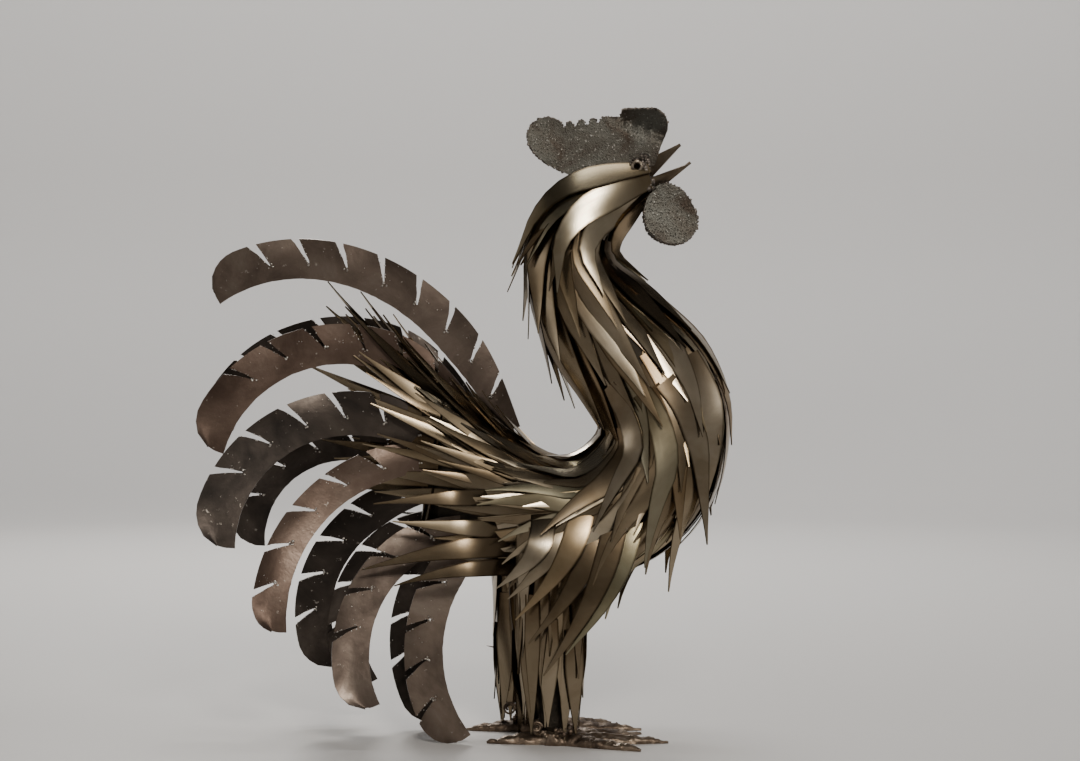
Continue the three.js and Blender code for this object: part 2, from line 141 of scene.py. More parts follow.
class BladeSheet:
    """Many blades in one mesh. Each point's colour holds its blade's two tones, its place
    from root to tip and, as alpha, its place from the middle line to the edge."""

    def __init__(self):
        self.points = []
        self.faces = []
        self.uvs = []
        self.tones = []
        self.tone_range = (0.0, 1.0)

    def strip(self, centres, normals, halves, roll):
        """One crowned strip along centres, rolled about its own line and closed all round."""
        steps = len(centres)
        tangents = np.gradient(np.array(centres), axis=0)
        tone = (mix(*self.tone_range, chance.random()), chance.random())
        start = len(self.points)
        run = 0.0
        for i in range(steps):
            tangent = tangents[i] / np.linalg.norm(tangents[i])
            across = np.cross(tangent, normals[i])
            across = across / np.linalg.norm(across)
            face = np.cross(across, tangent)
            turned = across * math.cos(roll) + face * math.sin(roll)
            up = np.cross(turned, tangent)
            if i:
                run += np.linalg.norm(centres[i] - centres[i - 1])
            for layer in (0.5, -0.5):
                for j in range(BLADE_SPANS + 1):
                    u = 2 * j / BLADE_SPANS - 1
                    rise = BLADE_CROWN * halves[i] * (1 - u * u) + layer * BLADE_SHEET
                    self.points.append(centres[i] + turned * u * halves[i] + up * rise)
                    self.uvs.append((u * halves[i], run))
                    self.tones.append((*tone, i / (steps - 1), abs(u)))
        ring = 2 * (BLADE_SPANS + 1)
        loop = [*range(BLADE_SPANS + 1), *range(ring - 1, BLADE_SPANS, -1)]
        for i in range(steps - 1):
            low, high = start + i * ring, start + (i + 1) * ring
            for a, b in zip(loop, loop[1:] + loop[:1]):
                self.faces.append((low + a, low + b, high + b, high + a))
        self.faces.append([start + k for k in reversed(loop)])
        self.faces.append([start + (steps - 1) * ring + k for k in loop])

    def lay(self, point, t, a, length, width, drift, tip_lift, root, free, roll, sag=0.0, narrow_root=0.85):
        """A blade along a form from (t, a) that turns by drift, and is straight past the share free."""
        centres, normals, halves = [], [], []
        here, angle = t, a
        step = length / BLADE_STEPS
        for i, share in enumerate(BLADE_SHARES):
            if share <= free or i < 2:
                normal = form_normal(point, here, angle)
                spot = point(here, angle) + normal * mix(root, tip_lift, share**LIFT_POWER)
                pace = np.linalg.norm(point(here + PACE_STEP, angle) - point(here, angle)) / PACE_STEP
                here += step / max(pace, LEAST_PACE)
                angle = a + drift * (i + 1) / BLADE_STEPS
            else:
                ahead = centres[-1] - centres[-2]
                spot = centres[-1] + ahead * step / np.linalg.norm(ahead)
                spot = spot + normal * FREE_RISE * step - np.array([0, 0, sag * step])
            centres.append(spot)
            normals.append(normal)
            swell = mix(narrow_root, 1.0, ease(share, 0, ROOT_SWELL_TO))
            halves.append(blade_half(0.5 * width * swell, share))
        self.strip(centres, normals, halves, roll)

    def make(self, name, material):
        mesh = bpy.data.meshes.new(name)
        mesh.from_pydata([tuple(p) for p in self.points], [], self.faces)
        tone = mesh.color_attributes.new("blade_tone", "FLOAT_COLOR", "POINT")
        tone.data.foreach_set("color", np.array(self.tones, dtype=np.float32).ravel())
        corners = np.empty(len(mesh.loops), dtype=np.int32)
        mesh.loops.foreach_get("vertex_index", corners)
        uv = mesh.uv_layers.new(name="along_blade")
        uv.data.foreach_set("uv", np.array(self.uvs, dtype=np.float32)[corners].ravel())
        mesh.shade_smooth()
        mesh.set_sharp_from_angle(angle=math.radians(BLADE_CREASE_DEG))
        return add_piece(name, mesh, material)


def add_piece(name, mesh, *materials):
    for material in materials:
        mesh.materials.append(material)
    piece = bpy.data.objects.new(name, mesh)
    bpy.context.collection.objects.link(piece)
    return piece


def new_material(name):
    material = bpy.data.materials.new(name)
    material.use_nodes = True
    return material, material.node_tree, material.node_tree.nodes["Principled BSDF"]


def add_node(tree, kind, **values):
    """A node with its inputs or settings given by name."""
    node = tree.nodes.new(kind)
    for key, value in values.items():
        if key in node.inputs:
            node.inputs[key].default_value = value
        else:
            setattr(node, key, value)
    return node


def color_ramp(tree, source, stops):
    ramp = tree.nodes.new("ShaderNodeValToRGB")
    elements = ramp.color_ramp.elements
    while len(elements) < len(stops):
        elements.new(0.5)
    for element, (place, color) in zip(elements, stops):
        element.position = place
        element.color = (*color, 1)
    tree.links.new(source, ramp.inputs["Fac"])
    return ramp.outputs["Color"]


def spread(tree, source, low, high, to_low, to_high):
    """A value taken from one range to another and held there."""
    node = tree.nodes.new("ShaderNodeMapRange")
    for key, value in zip(("From Min", "From Max", "To Min", "To Max"), (low, high, to_low, to_high)):
        node.inputs[key].default_value = value
    tree.links.new(source, node.inputs["Value"])
    return node.outputs["Result"]


def blend_colors(tree, kind, factor, below, above):
    """Two colours blended. The factor is a number or a mask, and above may be a plain colour."""
    node = add_node(tree, "ShaderNodeMix", data_type="RGBA", blend_type=kind)
    if isinstance(factor, float):
        node.inputs["Factor"].default_value = factor
    else:
        tree.links.new(factor, node.inputs["Factor"])
    tree.links.new(below, node.inputs["A"])
    if isinstance(above, tuple):
        node.inputs["B"].default_value = (*above, 1)
    else:
        tree.links.new(above, node.inputs["B"])
    return node.outputs["Result"]


def bump(tree, shader, height, strength, distance):
    node = add_node(tree, "ShaderNodeBump", Strength=strength, Distance=distance)
    tree.links.new(height, node.inputs["Height"])
    tree.links.new(node.outputs["Normal"], shader.inputs["Normal"])


def place_group(tree, group, **values):
    node = tree.nodes.new("ShaderNodeGroup")
    node.node_tree = group
    for key, value in values.items():
        node.inputs[key].default_value = value
    return node.outputs


# Broad cloudy stains of heated steel, and fine flecks in them
mottle = bpy.data.node_groups.new("Heat mottling", "ShaderNodeTree")
mottle.interface.new_socket("Scale", in_out="INPUT", socket_type="NodeSocketFloat")
mottle.interface.new_socket("Stain", in_out="OUTPUT", socket_type="NodeSocketFloat")
mottle.interface.new_socket("Fleck", in_out="OUTPUT", socket_type="NodeSocketFloat")
group_in = mottle.nodes.new("NodeGroupInput")
group_out = mottle.nodes.new("NodeGroupOutput")
where = mottle.nodes.new("ShaderNodeTexCoord")
stain = add_node(mottle, "ShaderNodeTexNoise", Detail=5.0, Roughness=0.6, Distortion=0.6)
finer = add_node(mottle, "ShaderNodeMath", operation="MULTIPLY")
FLECKS_TO_A_STAIN = 11.0
finer.inputs[1].default_value = FLECKS_TO_A_STAIN
fleck = add_node(mottle, "ShaderNodeTexNoise", Detail=3.0, Roughness=0.7)
mottle.links.new(where.outputs["Object"], stain.inputs["Vector"])
mottle.links.new(where.outputs["Object"], fleck.inputs["Vector"])
mottle.links.new(group_in.outputs["Scale"], stain.inputs["Scale"])
mottle.links.new(group_in.outputs["Scale"], finer.inputs[0])
mottle.links.new(finer.outputs[0], fleck.inputs["Scale"])
mottle.links.new(stain.outputs["Fac"], group_out.inputs["Stain"])
mottle.links.new(fleck.outputs["Fac"], group_out.inputs["Fleck"])

# Satin sheet: straw, bronze and grey-green tints that differ from blade to blade, with fine
# grinding lines along the blade. Painted shade darkens each blade towards its welded root, where it
# runs under the row laid before it, and in a thin line along its cut edges, where the gaps between
# neighbouring blades lie in shadow
blade_steel, tree, shader = new_material("satin_blade_steel")
shader.inputs["Metallic"].default_value = 1.0
tone = add_node(tree, "ShaderNodeAttribute", attribute_name="blade_tone")
tones = tree.nodes.new("ShaderNodeSeparateColor")
tree.links.new(tone.outputs["Color"], tones.inputs["Color"])
tint = color_ramp(tree, tones.outputs["Red"], [
    (0.0, (0.15, 0.115, 0.075)), (0.3, (0.29, 0.235, 0.16)), (0.55, (0.41, 0.355, 0.27)),
    (0.8, (0.30, 0.28, 0.19)), (1.0, (0.37, 0.275, 0.17)),
])
stains = place_group(tree, mottle, Scale=9.0)
clouds = color_ramp(tree, stains["Stain"], [(0.36, (0.50, 0.45, 0.38)), (0.6, (1.0, 1.0, 1.0))])
tint = blend_colors(tree, "MULTIPLY", 0.8, tint, clouds)
# Painted shade: the first part of each blade, from its root, is darkened where it runs under the tips of the
# row before it
root_painted_shade = spread(tree, tones.outputs["Blue"], 0.05, 0.45, 0.75, 0.0)
tint = blend_colors(tree, "MULTIPLY", root_painted_shade, tint, (0.34, 0.27, 0.20))
# Painted shade: a thin dark line along both long edges of each blade stands for the shadowed gap beside it
edge_painted_shade = spread(tree, tone.outputs["Alpha"], 0.8, 0.98, 0.0, 0.92)
tint = blend_colors(tree, "MULTIPLY", edge_painted_shade, tint, (0.16, 0.13, 0.10))
tree.links.new(tint, shader.inputs["Base Color"])
flat = add_node(tree, "ShaderNodeUVMap", uv_map="along_blade")
stretch = tree.nodes.new("ShaderNodeMapping")
GRINDING_LINES = (2200.0, 22.0, 1.0)
stretch.inputs["Scale"].default_value = GRINDING_LINES
tree.links.new(flat.outputs["UV"], stretch.inputs["Vector"])
grain = add_node(tree, "ShaderNodeTexNoise", Scale=1.0, Detail=3.0)
tree.links.new(stretch.outputs["Vector"], grain.inputs["Vector"])
tree.links.new(spread(tree, grain.outputs["Fac"], 0.3, 0.7, 0.21, 0.27), shader.inputs["Roughness"])
bump(tree, shader, grain.outputs["Fac"], 0.015, 0.0003)


GIRTH_STEPS = 12
FEWEST_IN_ROW = 5
OVER_NEIGHBOUR = 0.0042
ROOT_DEPTH = -0.0045
FREE_IN_FRONT = 0.96


def half_girth(t):
    spots = [body_point(min(t, 1.0), k * math.pi / GIRTH_STEPS) for k in range(GIRTH_STEPS + 1)]
    return sum(np.linalg.norm(b - a) for a, b in zip(spots, spots[1:]))


def placed(i, count):
    """The share across a row at which one of its blades lies, a little off the even pitch."""
    return (i + chance.uniform(0.3, 0.7)) / count


def body_row(sheet, t, pitch, length, width, drift, lift, free, from_deg=4, to_deg=178):
    """A row of blades across both sides of the form, every second one lying on its neighbours.
    Length, drift and lift depend on the angle, and in front the blades keep to the form."""
    count = max(FEWEST_IN_ROW, round(half_girth(t) * (to_deg - from_deg) / 180 / pitch))
    for side in (-1, 1):
        for i in range(count):
            a = math.radians(mix(from_deg, to_deg, placed(i, count)))
            above = OVER_NEIGHBOUR * (i % 2)
            sheet.lay(
                body_point, t + chance.uniform(-0.018, 0.018), side * a,
                length=length(a) * chance.uniform(0.85, 1.15), width=width * chance.uniform(0.85, 1.2),
                drift=side * (drift(a) + chance.uniform(-0.1, 0.1)), root=ROOT_DEPTH + above,
                tip_lift=lift(a) * chance.uniform(0.7, 1.2) + above, roll=chance.uniform(-0.17, 0.17),
                free=mix(free, FREE_IN_FRONT, max(0, -math.cos(a))))


# The neck's rows sweep towards the nape and stand free there
NECK_ROWS = 4
neck_sheet = BladeSheet()
for row in range(NECK_ROWS):
    share = row / (NECK_ROWS - 1)
    body_row(
        neck_sheet, mix(0.13, 0.42, share), pitch=mix(0.016, 0.018, share),
        width=mix(0.023, 0.026, share), length=lambda a: mix(0.14, 0.165, share),
        drift=lambda a: -0.6 * math.sin(a) * (1 - share),
        lift=lambda a: 0.008 + 0.007 * max(0, math.cos(a)) - 0.005 * max(0, -math.cos(a)), free=0.72)

# Wide hackle strips start at the beak and the eye and sweep back over the head. Each has its
# angle round the form in degrees, its start, width and length.
HACKLE_STRIPS = [
    (26, 0.020, 0.024, 0.190), (60, 0.006, 0.034, 0.185), (84, 0.012, 0.026, 0.170),
    (108, 0.016, 0.032, 0.175), (134, 0.012, 0.031, 0.165), (164, 0.008, 0.026, 0.150),
]
for side in (-1, 1):
    for i, (degrees, start, width, length) in enumerate(HACKLE_STRIPS):
        a = math.radians(degrees)
        above = OVER_NEIGHBOUR * (i % 2)
        neck_sheet.lay(
            body_point, start, side * a, length=length, width=width,
            drift=-side * 0.8 * math.sin(a) ** 0.7, tip_lift=0.011 + above, root=0.005 + above,
            free=0.86, narrow_root=0.55, roll=side * 0.06)

# Breast, back and belly rows, with larger blades, the first ones still on the neck
BODY_ROWS = 6
NECK_SHARE = 0.3
body_sheet = BladeSheet()
for row in range(BODY_ROWS):
    share = row / (BODY_ROWS - 1)
    body_row(
        neck_sheet if share < NECK_SHARE else body_sheet, mix(0.48, 0.84, share), pitch=0.021,
        width=0.028, length=lambda a: 0.165, drift=lambda a: 0.6 * share * math.sin(a) ** 2,
        lift=lambda a: 0.010 - 0.007 * max(0, -math.cos(a)), free=0.72)

# Long narrow saddle blades lie side by side from the neck's foot over the back
SADDLE_COLUMNS = 7
SADDLE_ROWS = (0.64, 0.71, 0.78, 0.83)
SADDLE_DEGREES = (4, 66)
body_sheet.tone_range = (0.0, 0.6)
for side in (-1, 1):
    for t in SADDLE_ROWS:
        for i in range(SADDLE_COLUMNS):
            a = math.radians(mix(*SADDLE_DEGREES, placed(i, SADDLE_COLUMNS)))
            above = OVER_NEIGHBOUR * (i % 2)
            body_sheet.lay(
                body_point, t + chance.uniform(-0.02, 0.02), side * a, length=chance.uniform(0.14, 0.19),
                width=chance.uniform(0.015, 0.021), drift=side * chance.uniform(0.0, 0.3),
                tip_lift=0.010 + above, root=above, free=0.75, roll=chance.uniform(-0.15, 0.15))

# Tail coverts, of darker sheet, stand up and back between the tail plates
COVERT_ROWS = 5
body_sheet.tone_range = (0.0, 0.3)
for row in range(COVERT_ROWS):
    body_row(
        body_sheet, mix(0.84, 0.99, row / (COVERT_ROWS - 1)), pitch=0.0155, width=0.016,
        length=lambda a: mix(0.10, 0.175, max(0, math.cos(a)) ** 0.7),
        drift=lambda a: 0.35 * math.sin(a) ** 2,
        lift=lambda a: 0.007 + 0.026 * max(0, math.cos(a)), free=0.55, to_deg=104)

# Two rows of blades hang down over the end of the rump, behind the tail plates' roots
RUMP_TOP = np.array([BACK_LINE[-1][0], 0.0, BACK_LINE[-1][1]])
RUMP_FOOT = np.array([BREAST_LINE[-1][0], 0.0, BREAST_LINE[-1][1]])
RUMP_HALF_WIDTH = 0.026
RUMP_SPREAD = 0.2
RUMP_COLUMNS = 6
RUMP_ROWS = ((0.5, 1.0), (0.06, 0.66))
RUMP_BLADE_HALF = 0.009


def hand_laid(centres, normals, half, roll):
    """A blade laid singly, through spots that follow its length evenly."""
    body_sheet.strip(centres, normals, [blade_half(half, share) for share in BLADE_SHARES], roll)


for first, last in RUMP_ROWS:
    for i in range(RUMP_COLUMNS):
        y = RUMP_HALF_WIDTH * (2 * placed(i, RUMP_COLUMNS) - 1)
        tip_back = chance.uniform(0.0, 0.006)
        centres = []
        for far in BLADE_SHARES:
            spot = mix(RUMP_TOP, RUMP_FOOT, mix(first, last, far))
            back = OVER_NEIGHBOUR * (i % 2) + tip_back * far**1.5
            centres.append(spot + np.array([ground_shift - back, y * (1 + RUMP_SPREAD * far), 0.0]))
        normals = [np.array([-1.0, y / RUMP_HALF_WIDTH * 0.4, 0.1])] * len(centres)
        hand_laid(centres, normals, RUMP_BLADE_HALF, chance.uniform(-0.15, 0.15))

# Broad low blades lie back along the rump, over the roots of the lowest tail plates.
# Each has the root, the bow and the tip of its middle line in side view, and a half width.
RUMP_SIDE_BLADES = [
    ((0.075, 0.214), (0.000, 0.222), (-0.111, 0.191), 0.0125),
    ((0.072, 0.190), (0.000, 0.200), (-0.076, 0.174), 0.0090),
    ((0.060, 0.232), (0.000, 0.235), (-0.078, 0.243), 0.0095),
    ((0.045, 0.266), (-0.010, 0.272), (-0.098, 0.262), 0.0090),
]
RUMP_SIDE_ROOT = 0.040
RUMP_SIDE_TIP = 0.066
OUTSIDE_FROM = 0.5
SIDE_BLADE_ROLL = 0.1
body_sheet.tone_range = (0.0, 0.5)
for side in (-1, 1):
    facing = [np.array([0.0, side, 0.1])] * len(BLADE_SHARES)
    for i, (root, bow, tip, half) in enumerate(RUMP_SIDE_BLADES):
        centres = []
        for far in BLADE_SHARES:
            x, z = (mix(mix(r, b, far), mix(b, p, far), far) for r, b, p in zip(root, bow, tip))
            outward = mix(RUMP_SIDE_ROOT, RUMP_SIDE_TIP, ease(far, 0, OUTSIDE_FROM))
            outward += OVER_NEIGHBOUR * (i % 2)
            centres.append(np.array([x + ground_shift, side * outward, z]))
        hand_laid(centres, facing, half, side * SIDE_BLADE_ROLL)

# A tuft of upright blades hides the foot of the tallest tail plate
TUFT_BLADES = 7
TUFT_REACH = (0.80, 0.87)
for side in (-1, 1):
    for i in range(TUFT_BLADES):
        start = mix(*TUFT_REACH, i / (TUFT_BLADES - 1))
        body_sheet.lay(
            body_point, start + chance.uniform(-0.01, 0.01), side * chance.uniform(0.05, 0.5),
            length=chance.uniform(0.09, 0.125), width=chance.uniform(0.014, 0.019), drift=side * 0.1,
            tip_lift=chance.uniform(0.024, 0.036), root=-0.002, free=0.7, roll=chance.uniform(-0.2, 0.2))

# Long wing blades fan out over the flank, the lowest hanging past the belly. Each row has its
# place along the body, its first and last angle in degrees and its number of blades.
body_sheet.tone_range = (0.0, 1.0)
WING_ROWS = ((0.60, 38, 108, 6), (0.66, 38, 112, 6), (0.72, 40, 122, 7), (0.78, 50, 130, 7))
for side in (-1, 1):
    for t, low_deg, high_deg, count in WING_ROWS:
        for i in range(count):
            down = placed(i, count)
            a = math.radians(mix(low_deg, high_deg, down))
            above = OVER_NEIGHBOUR * (i % 2)
            body_sheet.lay(
                body_point, t + chance.uniform(-0.015, 0.015), side * a,
                length=chance.uniform(0.13, 0.175), width=chance.uniform(0.022, 0.029),
                drift=side * (mix(0.15, 0.85, down) + chance.uniform(-0.1, 0.1)),
                tip_lift=0.012 + above, root=0.001 + above, free=0.6, sag=0.25 * down,
                roll=chance.uniform(-0.12, 0.12))

# Thigh blades cross from the belly down and back over the leg, from root to tip in side view
THIGH_BLADES = [
    ((0.180, 0.262), (0.108, 0.100)), ((0.166, 0.270), (0.084, 0.078)), ((0.146, 0.260), (0.068, 0.112)),
    ((0.128, 0.268), (0.054, 0.138)), ((0.104, 0.258), (0.046, 0.160)), ((0.084, 0.250), (0.034, 0.172)),
]
THIGH_BLADE_HALF = 0.0135
THIGH_BOW = 0.016
THIGH_ROOT = 0.060
THIGH_BULGE = 0.014
THIGH_OUTSIDE = 0.070
for side in (-1, 1):
    facing = [np.array([0.0, side, 0.1])] * len(BLADE_SHARES)
    for i, ((x0, z0), (x1, z1)) in enumerate(THIGH_BLADES):
        centres = []
        for far in BLADE_SHARES:
            x = mix(x0, x1, far) + THIGH_BOW * math.sin(math.pi * far)
            outward = mix(THIGH_ROOT, THIGH_OUTSIDE, far) + OVER_NEIGHBOUR * (i % 2)
            outward += THIGH_BULGE * math.sin(math.pi * far)
            centres.append(np.array([x + ground_shift, side * outward, mix(z0, z1, far)]))
        hand_laid(centres, facing, THIGH_BLADE_HALF, side * SIDE_BLADE_ROLL)

neck_feathers = neck_sheet.make("neck_feathers", blade_steel)
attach(neck_feathers, "root")
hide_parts("neck_blades")
body_feathers = body_sheet.make("body_feathers", blade_steel)
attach(body_feathers, "root")
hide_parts("body_blades")

# Leg feathers: the same sheet blades hang down round each leg from the thigh to the foot,
# welded to the blades behind them
HIP_HEIGHT = 0.250
ANKLE_HEIGHT = 0.008
HIP_RADIUS = 0.042
ANKLE_RADIUS = 0.026
LEG_FLATNESS = 0.6
LEG_SET_BACK = 0.006
LEG_STANCE = 0.042
LEFT_FOOT_X = 0.072
LEG_SLIMMING = 0.7
LEG_ROWS = (0.08, 0.22, 0.36, 0.50)
LEG_COLUMNS = 8
LEG_BLADE_ROOM = 0.232


def leg_point(x, y):
    """A leg's form, from the hip at t = 0 to the ankle at t = 1."""
    def point(t, a):
        radius = mix(HIP_RADIUS, ANKLE_RADIUS, min(1.0, max(t, 0.0) ** LEG_SLIMMING))
        height = mix(HIP_HEIGHT, ANKLE_HEIGHT, t)
        side = radius * math.sin(a) * LEG_FLATNESS
        return np.array([x - LEG_SET_BACK + ground_shift + radius * math.cos(a), y + side, height])
    return point


legs = {"right": leg_point(RIGHT_FOOT_X, -LEG_STANCE), "left": leg_point(LEFT_FOOT_X, LEG_STANCE)}
for side, leg in legs.items():
    leg_sheet = BladeSheet()
    # Painted shade: the leg blades take only the darker half of the blade tones, as the legs stand in shadow
    # under the body
    leg_sheet.tone_range = (0.0, 0.5)
    for t in LEG_ROWS:
        for i in range(LEG_COLUMNS):
            leg_sheet.lay(
                leg, t + chance.uniform(-0.04, 0.04), (i + chance.random()) / LEG_COLUMNS * 2 * math.pi,
                length=min(chance.uniform(0.12, 0.18), LEG_BLADE_ROOM * (1 - t)),
                width=chance.uniform(0.018, 0.027), drift=chance.uniform(-0.4, 0.4),
                tip_lift=chance.uniform(0.002, 0.009), root=OVER_NEIGHBOUR * (i % 2),
                roll=chance.uniform(-0.45, 0.45), free=0.8)
    leg_feathers = leg_sheet.make(f"{side}_leg_feathers", blade_steel)
    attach(leg_feathers, "root")
    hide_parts(f"{side}_leg_blades")

# Under-layers: of the blades and weld beneath the outer blades only a dark rough bed is seen, in the
# gaps between the tips. Its near-black colour is painted shade: the layers beneath lie in the
# shadow of the outer blades
BED_INSET = 0.003
BED_RINGS = 60
BED_SIDES = 32
LEG_BED_INSET = 0.014
LEG_BED_RINGS = 20
LEG_BED_SIDES = 16
shade_bed_steel, tree, shader = new_material("shaded_under_steel")
shader.inputs["Metallic"].default_value = 0.9
shader.inputs["Roughness"].default_value = 0.55
shade_bed_mottle = place_group(tree, mottle, Scale=30.0)
# Painted shade: the bed takes only near-black browns, for under-layers seen in shadow
shade_bed_tint = color_ramp(tree, shade_bed_mottle["Stain"], [
    (0.35, (0.016, 0.013, 0.010)), (0.7, (0.06, 0.05, 0.038))])
tree.links.new(shade_bed_tint, shader.inputs["Base Color"])
bump(tree, shader, shade_bed_mottle["Fleck"], 0.5, 0.002)


def closed_tube(name, point, rings, sides, inset):
    """A closed skin that lies beneath a form's surface."""
    points, faces = [], []
    for r in range(rings + 1):
        for i in range(sides):
            t, a = r / rings, i / sides * 2 * math.pi
            points.append(point(t, a) - form_normal(point, t, a) * inset)
    for r in range(rings):
        for i in range(sides):
            a, b = r * sides + i, r * sides + (i + 1) % sides
            faces.append((a, b, b + sides, a + sides))
    faces.append([*reversed(range(sides))])
    faces.append([rings * sides + i for i in range(sides)])
    mesh = bpy.data.meshes.new(name)
    mesh.from_pydata([tuple(p) for p in points], [], faces)
    mesh.shade_smooth()
    return mesh


body_bed_mesh = closed_tube("body_under_layer", body_point, BED_RINGS, BED_SIDES, BED_INSET)
body_bed = add_piece("body_under_layer", body_bed_mesh, shade_bed_steel)
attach(body_bed, "root")
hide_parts("neck_blades", "body_blades")
for side, leg in legs.items():
    name = f"{side}_leg_under_layer"
    leg_bed_mesh = closed_tube(name, leg, LEG_BED_RINGS, LEG_BED_SIDES, LEG_BED_INSET)
    leg_bed = add_piece(name, leg_bed_mesh, shade_bed_steel)
    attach(leg_bed, "root")
    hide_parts(f"{side}_leg_blades")

# Tail feathers: eleven plates torch-cut from dark heat-tinted steel sheet, curved down from
# the rump, with slanted notches that part the outer edge into barbs bent to either side.
# Each plate has its root, heading (90 is up), curl in degrees for each 0.1 m at root and
# tip, length, width, place across the rump, splay of the tip and shade. The shade is partly the
# sheet's own tint and partly painted light and shade: dark is painted shade on the plates that lie
# in shadow, most of them on the far side, and light is painted light on the near plate that turns
# towards the lamps
TAIL_PLATE = 0.0022
TAIL_FEATHERS = {
    "sickle_feather": ((0.046, 0.338), 110, (14, 36), 0.425, 0.044, 0.0, 0.006, "brown"),
    "right_tail_feather_1": ((-0.004, 0.361), 123, (36, 38), 0.358, 0.044, -0.008, -0.030, "red"),
    "left_tail_feather_1": ((-0.002, 0.365), 121, (36, 37), 0.350, 0.043, 0.008, 0.036, "dark"),
    "right_tail_feather_2": ((-0.014, 0.310), 134, (36, 42), 0.352, 0.048, -0.015, -0.058, "dark"),
    "left_tail_feather_2": ((-0.046, 0.292), 138, (44, 50), 0.284, 0.042, 0.015, 0.058, "dark"),
    "right_tail_feather_3": ((-0.006, 0.304), 166, (36, 33), 0.318, 0.038, -0.022, -0.062, "red"),
    "left_tail_feather_3": ((-0.028, 0.272), 183, (34, 44), 0.296, 0.041, 0.022, 0.062, "dark"),
    "right_tail_feather_4": ((0.004, 0.236), 185, (40, 44), 0.268, 0.040, -0.029, -0.050, "brown"),
    "left_tail_feather_4": ((-0.020, 0.240), 188, (40, 46), 0.262, 0.040, 0.029, 0.050, "dark"),
    "right_tail_feather_5": ((0.032, 0.238), 212, (34, 36), 0.277, 0.042, -0.020, -0.026, "light"),
    "left_tail_feather_5": ((0.012, 0.240), 212, (34, 36), 0.270, 0.042, 0.020, 0.030, "dark"),
}
NOTCH_PITCH = 0.044
NOTCH_MOUTH = 0.008
NOTCH_SLOT = 0.0018
NOTCH_FLOOR = -0.2
NOTCH_SLANT = 0.015
FIRST_NOTCH = 0.058
TIP_ROUND = 0.95
TIP_STEPS = 4
TANG_SHARE = 0.6
TANG_RUN = 0.3
CURL_RUN = 0.1
SPLAY_POWER = 1.5
PLATE_CREASE_DEG = 35
MERGE_REACH = 0.00005
SPINE_RAGGED = 0.012
BARB_RAGGED = 0.0004
BARB_TWIST = 0.0025
BARB_BEND = 0.0022
BARB_COLUMNS = 7
BARB_ROWS = 5
SPINE_ROWS = 4
LINE_STEPS = 400
torn = random.Random(29)


class TailLine:
    """A tail plate's middle line and width, and any point of its sheet."""

    def __init__(self, root, heading, curl, length, width, across, splay):
        self.length, self.width, self.across, self.splay = length, width, across, splay
        step = length / LINE_STEPS
        x, z = root
        turn = math.radians(heading)
        self.line = []
        for i in range(LINE_STEPS + 1):
            self.line.append((x, z, turn))
            x += math.cos(turn) * step
            z += math.sin(turn) * step
            turn += math.radians(mix(*curl, i / LINE_STEPS)) * step / CURL_RUN
        self.round_from = length - TIP_ROUND * width

    def half(self, s):
        return self.width / 2 * mix(TANG_SHARE, 1, ease(s, 0, TANG_RUN * self.length))

    def top(self, s):
        """The outer edge as a share of the half width, which comes down round the tip."""
        rounded = max(0.0, (s - self.round_from) / (self.length - self.round_from))
        return 2 * math.sqrt(max(0.0, 1 - rounded * rounded)) - 1

    def spot(self, s, v, bend=0.0):
        x, z, turn = self.line[min(LINE_STEPS, max(0, round(s / self.length * LINE_STEPS)))]
        offset = v * self.half(s)
        y = self.across + self.splay * max(0.0, s / self.length) ** SPLAY_POWER + bend
        return Vector((x + math.sin(turn) * offset + ground_shift, y, z - math.cos(turn) * offset))


# A drop starts as a solid of twenty triangles whose corners lie on three golden rectangles
GOLDEN = (1 + math.sqrt(5)) / 2
LONGEST_DROP_EDGE = 2.01
DROP_CORNERS = [
    Vector((0, one, tall)[k:] + (0, one, tall)[:k])
    for k in range(3) for one in (-1, 1) for tall in (-GOLDEN, GOLDEN)]
DROP_FACES = []
for face in combinations(range(len(DROP_CORNERS)), 3):
    p, q, r = (DROP_CORNERS[k] for k in face)
    if max((p - q).length, (q - r).length, (r - p).length) < LONGEST_DROP_EDGE:
        DROP_FACES.append(face if (q - p).cross(r - p).dot(p) > 0 else face[::-1])


class Beads:
    """Drops of weld and spatter in one mesh, each a small lump of its own size."""

    def __init__(self):
        self.points = []
        self.faces = []

    def drop(self, place, radius):
        start = len(self.points)
        size = [torn.uniform(0.75, 1.25) * radius / DROP_CORNERS[0].length for _ in range(3)]
        for corner in DROP_CORNERS:
            self.points.append([p + c * k for p, c, k in zip(place, corner, size)])
        self.faces += [[start + k for k in face] for face in DROP_FACES]

    def make(self, name, material):
        mesh = bpy.data.meshes.new(name)
        mesh.from_pydata(self.points, [], self.faces)
        mesh.shade_smooth()
        return add_piece(name, mesh, material)


def grid_patch(mesh, columns):
    """A sheet through columns of points."""
    rows = [[mesh.verts.new(spot) for spot in column] for column in columns]
    for left, right in zip(rows, rows[1:]):
        for k in range(len(left) - 1):
            mesh.faces.new((left[k], right[k], right[k + 1], left[k + 1]))


def finished_mesh(name, mesh, crease_deg=None):
    """A smooth-shaded mesh for a piece, with sharp edges past the crease angle if one is given."""
    made = bpy.data.meshes.new(name)
    mesh.to_mesh(made)
    mesh.free()
    made.shade_smooth()
    if crease_deg:
        made.set_sharp_from_angle(angle=math.radians(crease_deg))
    return made


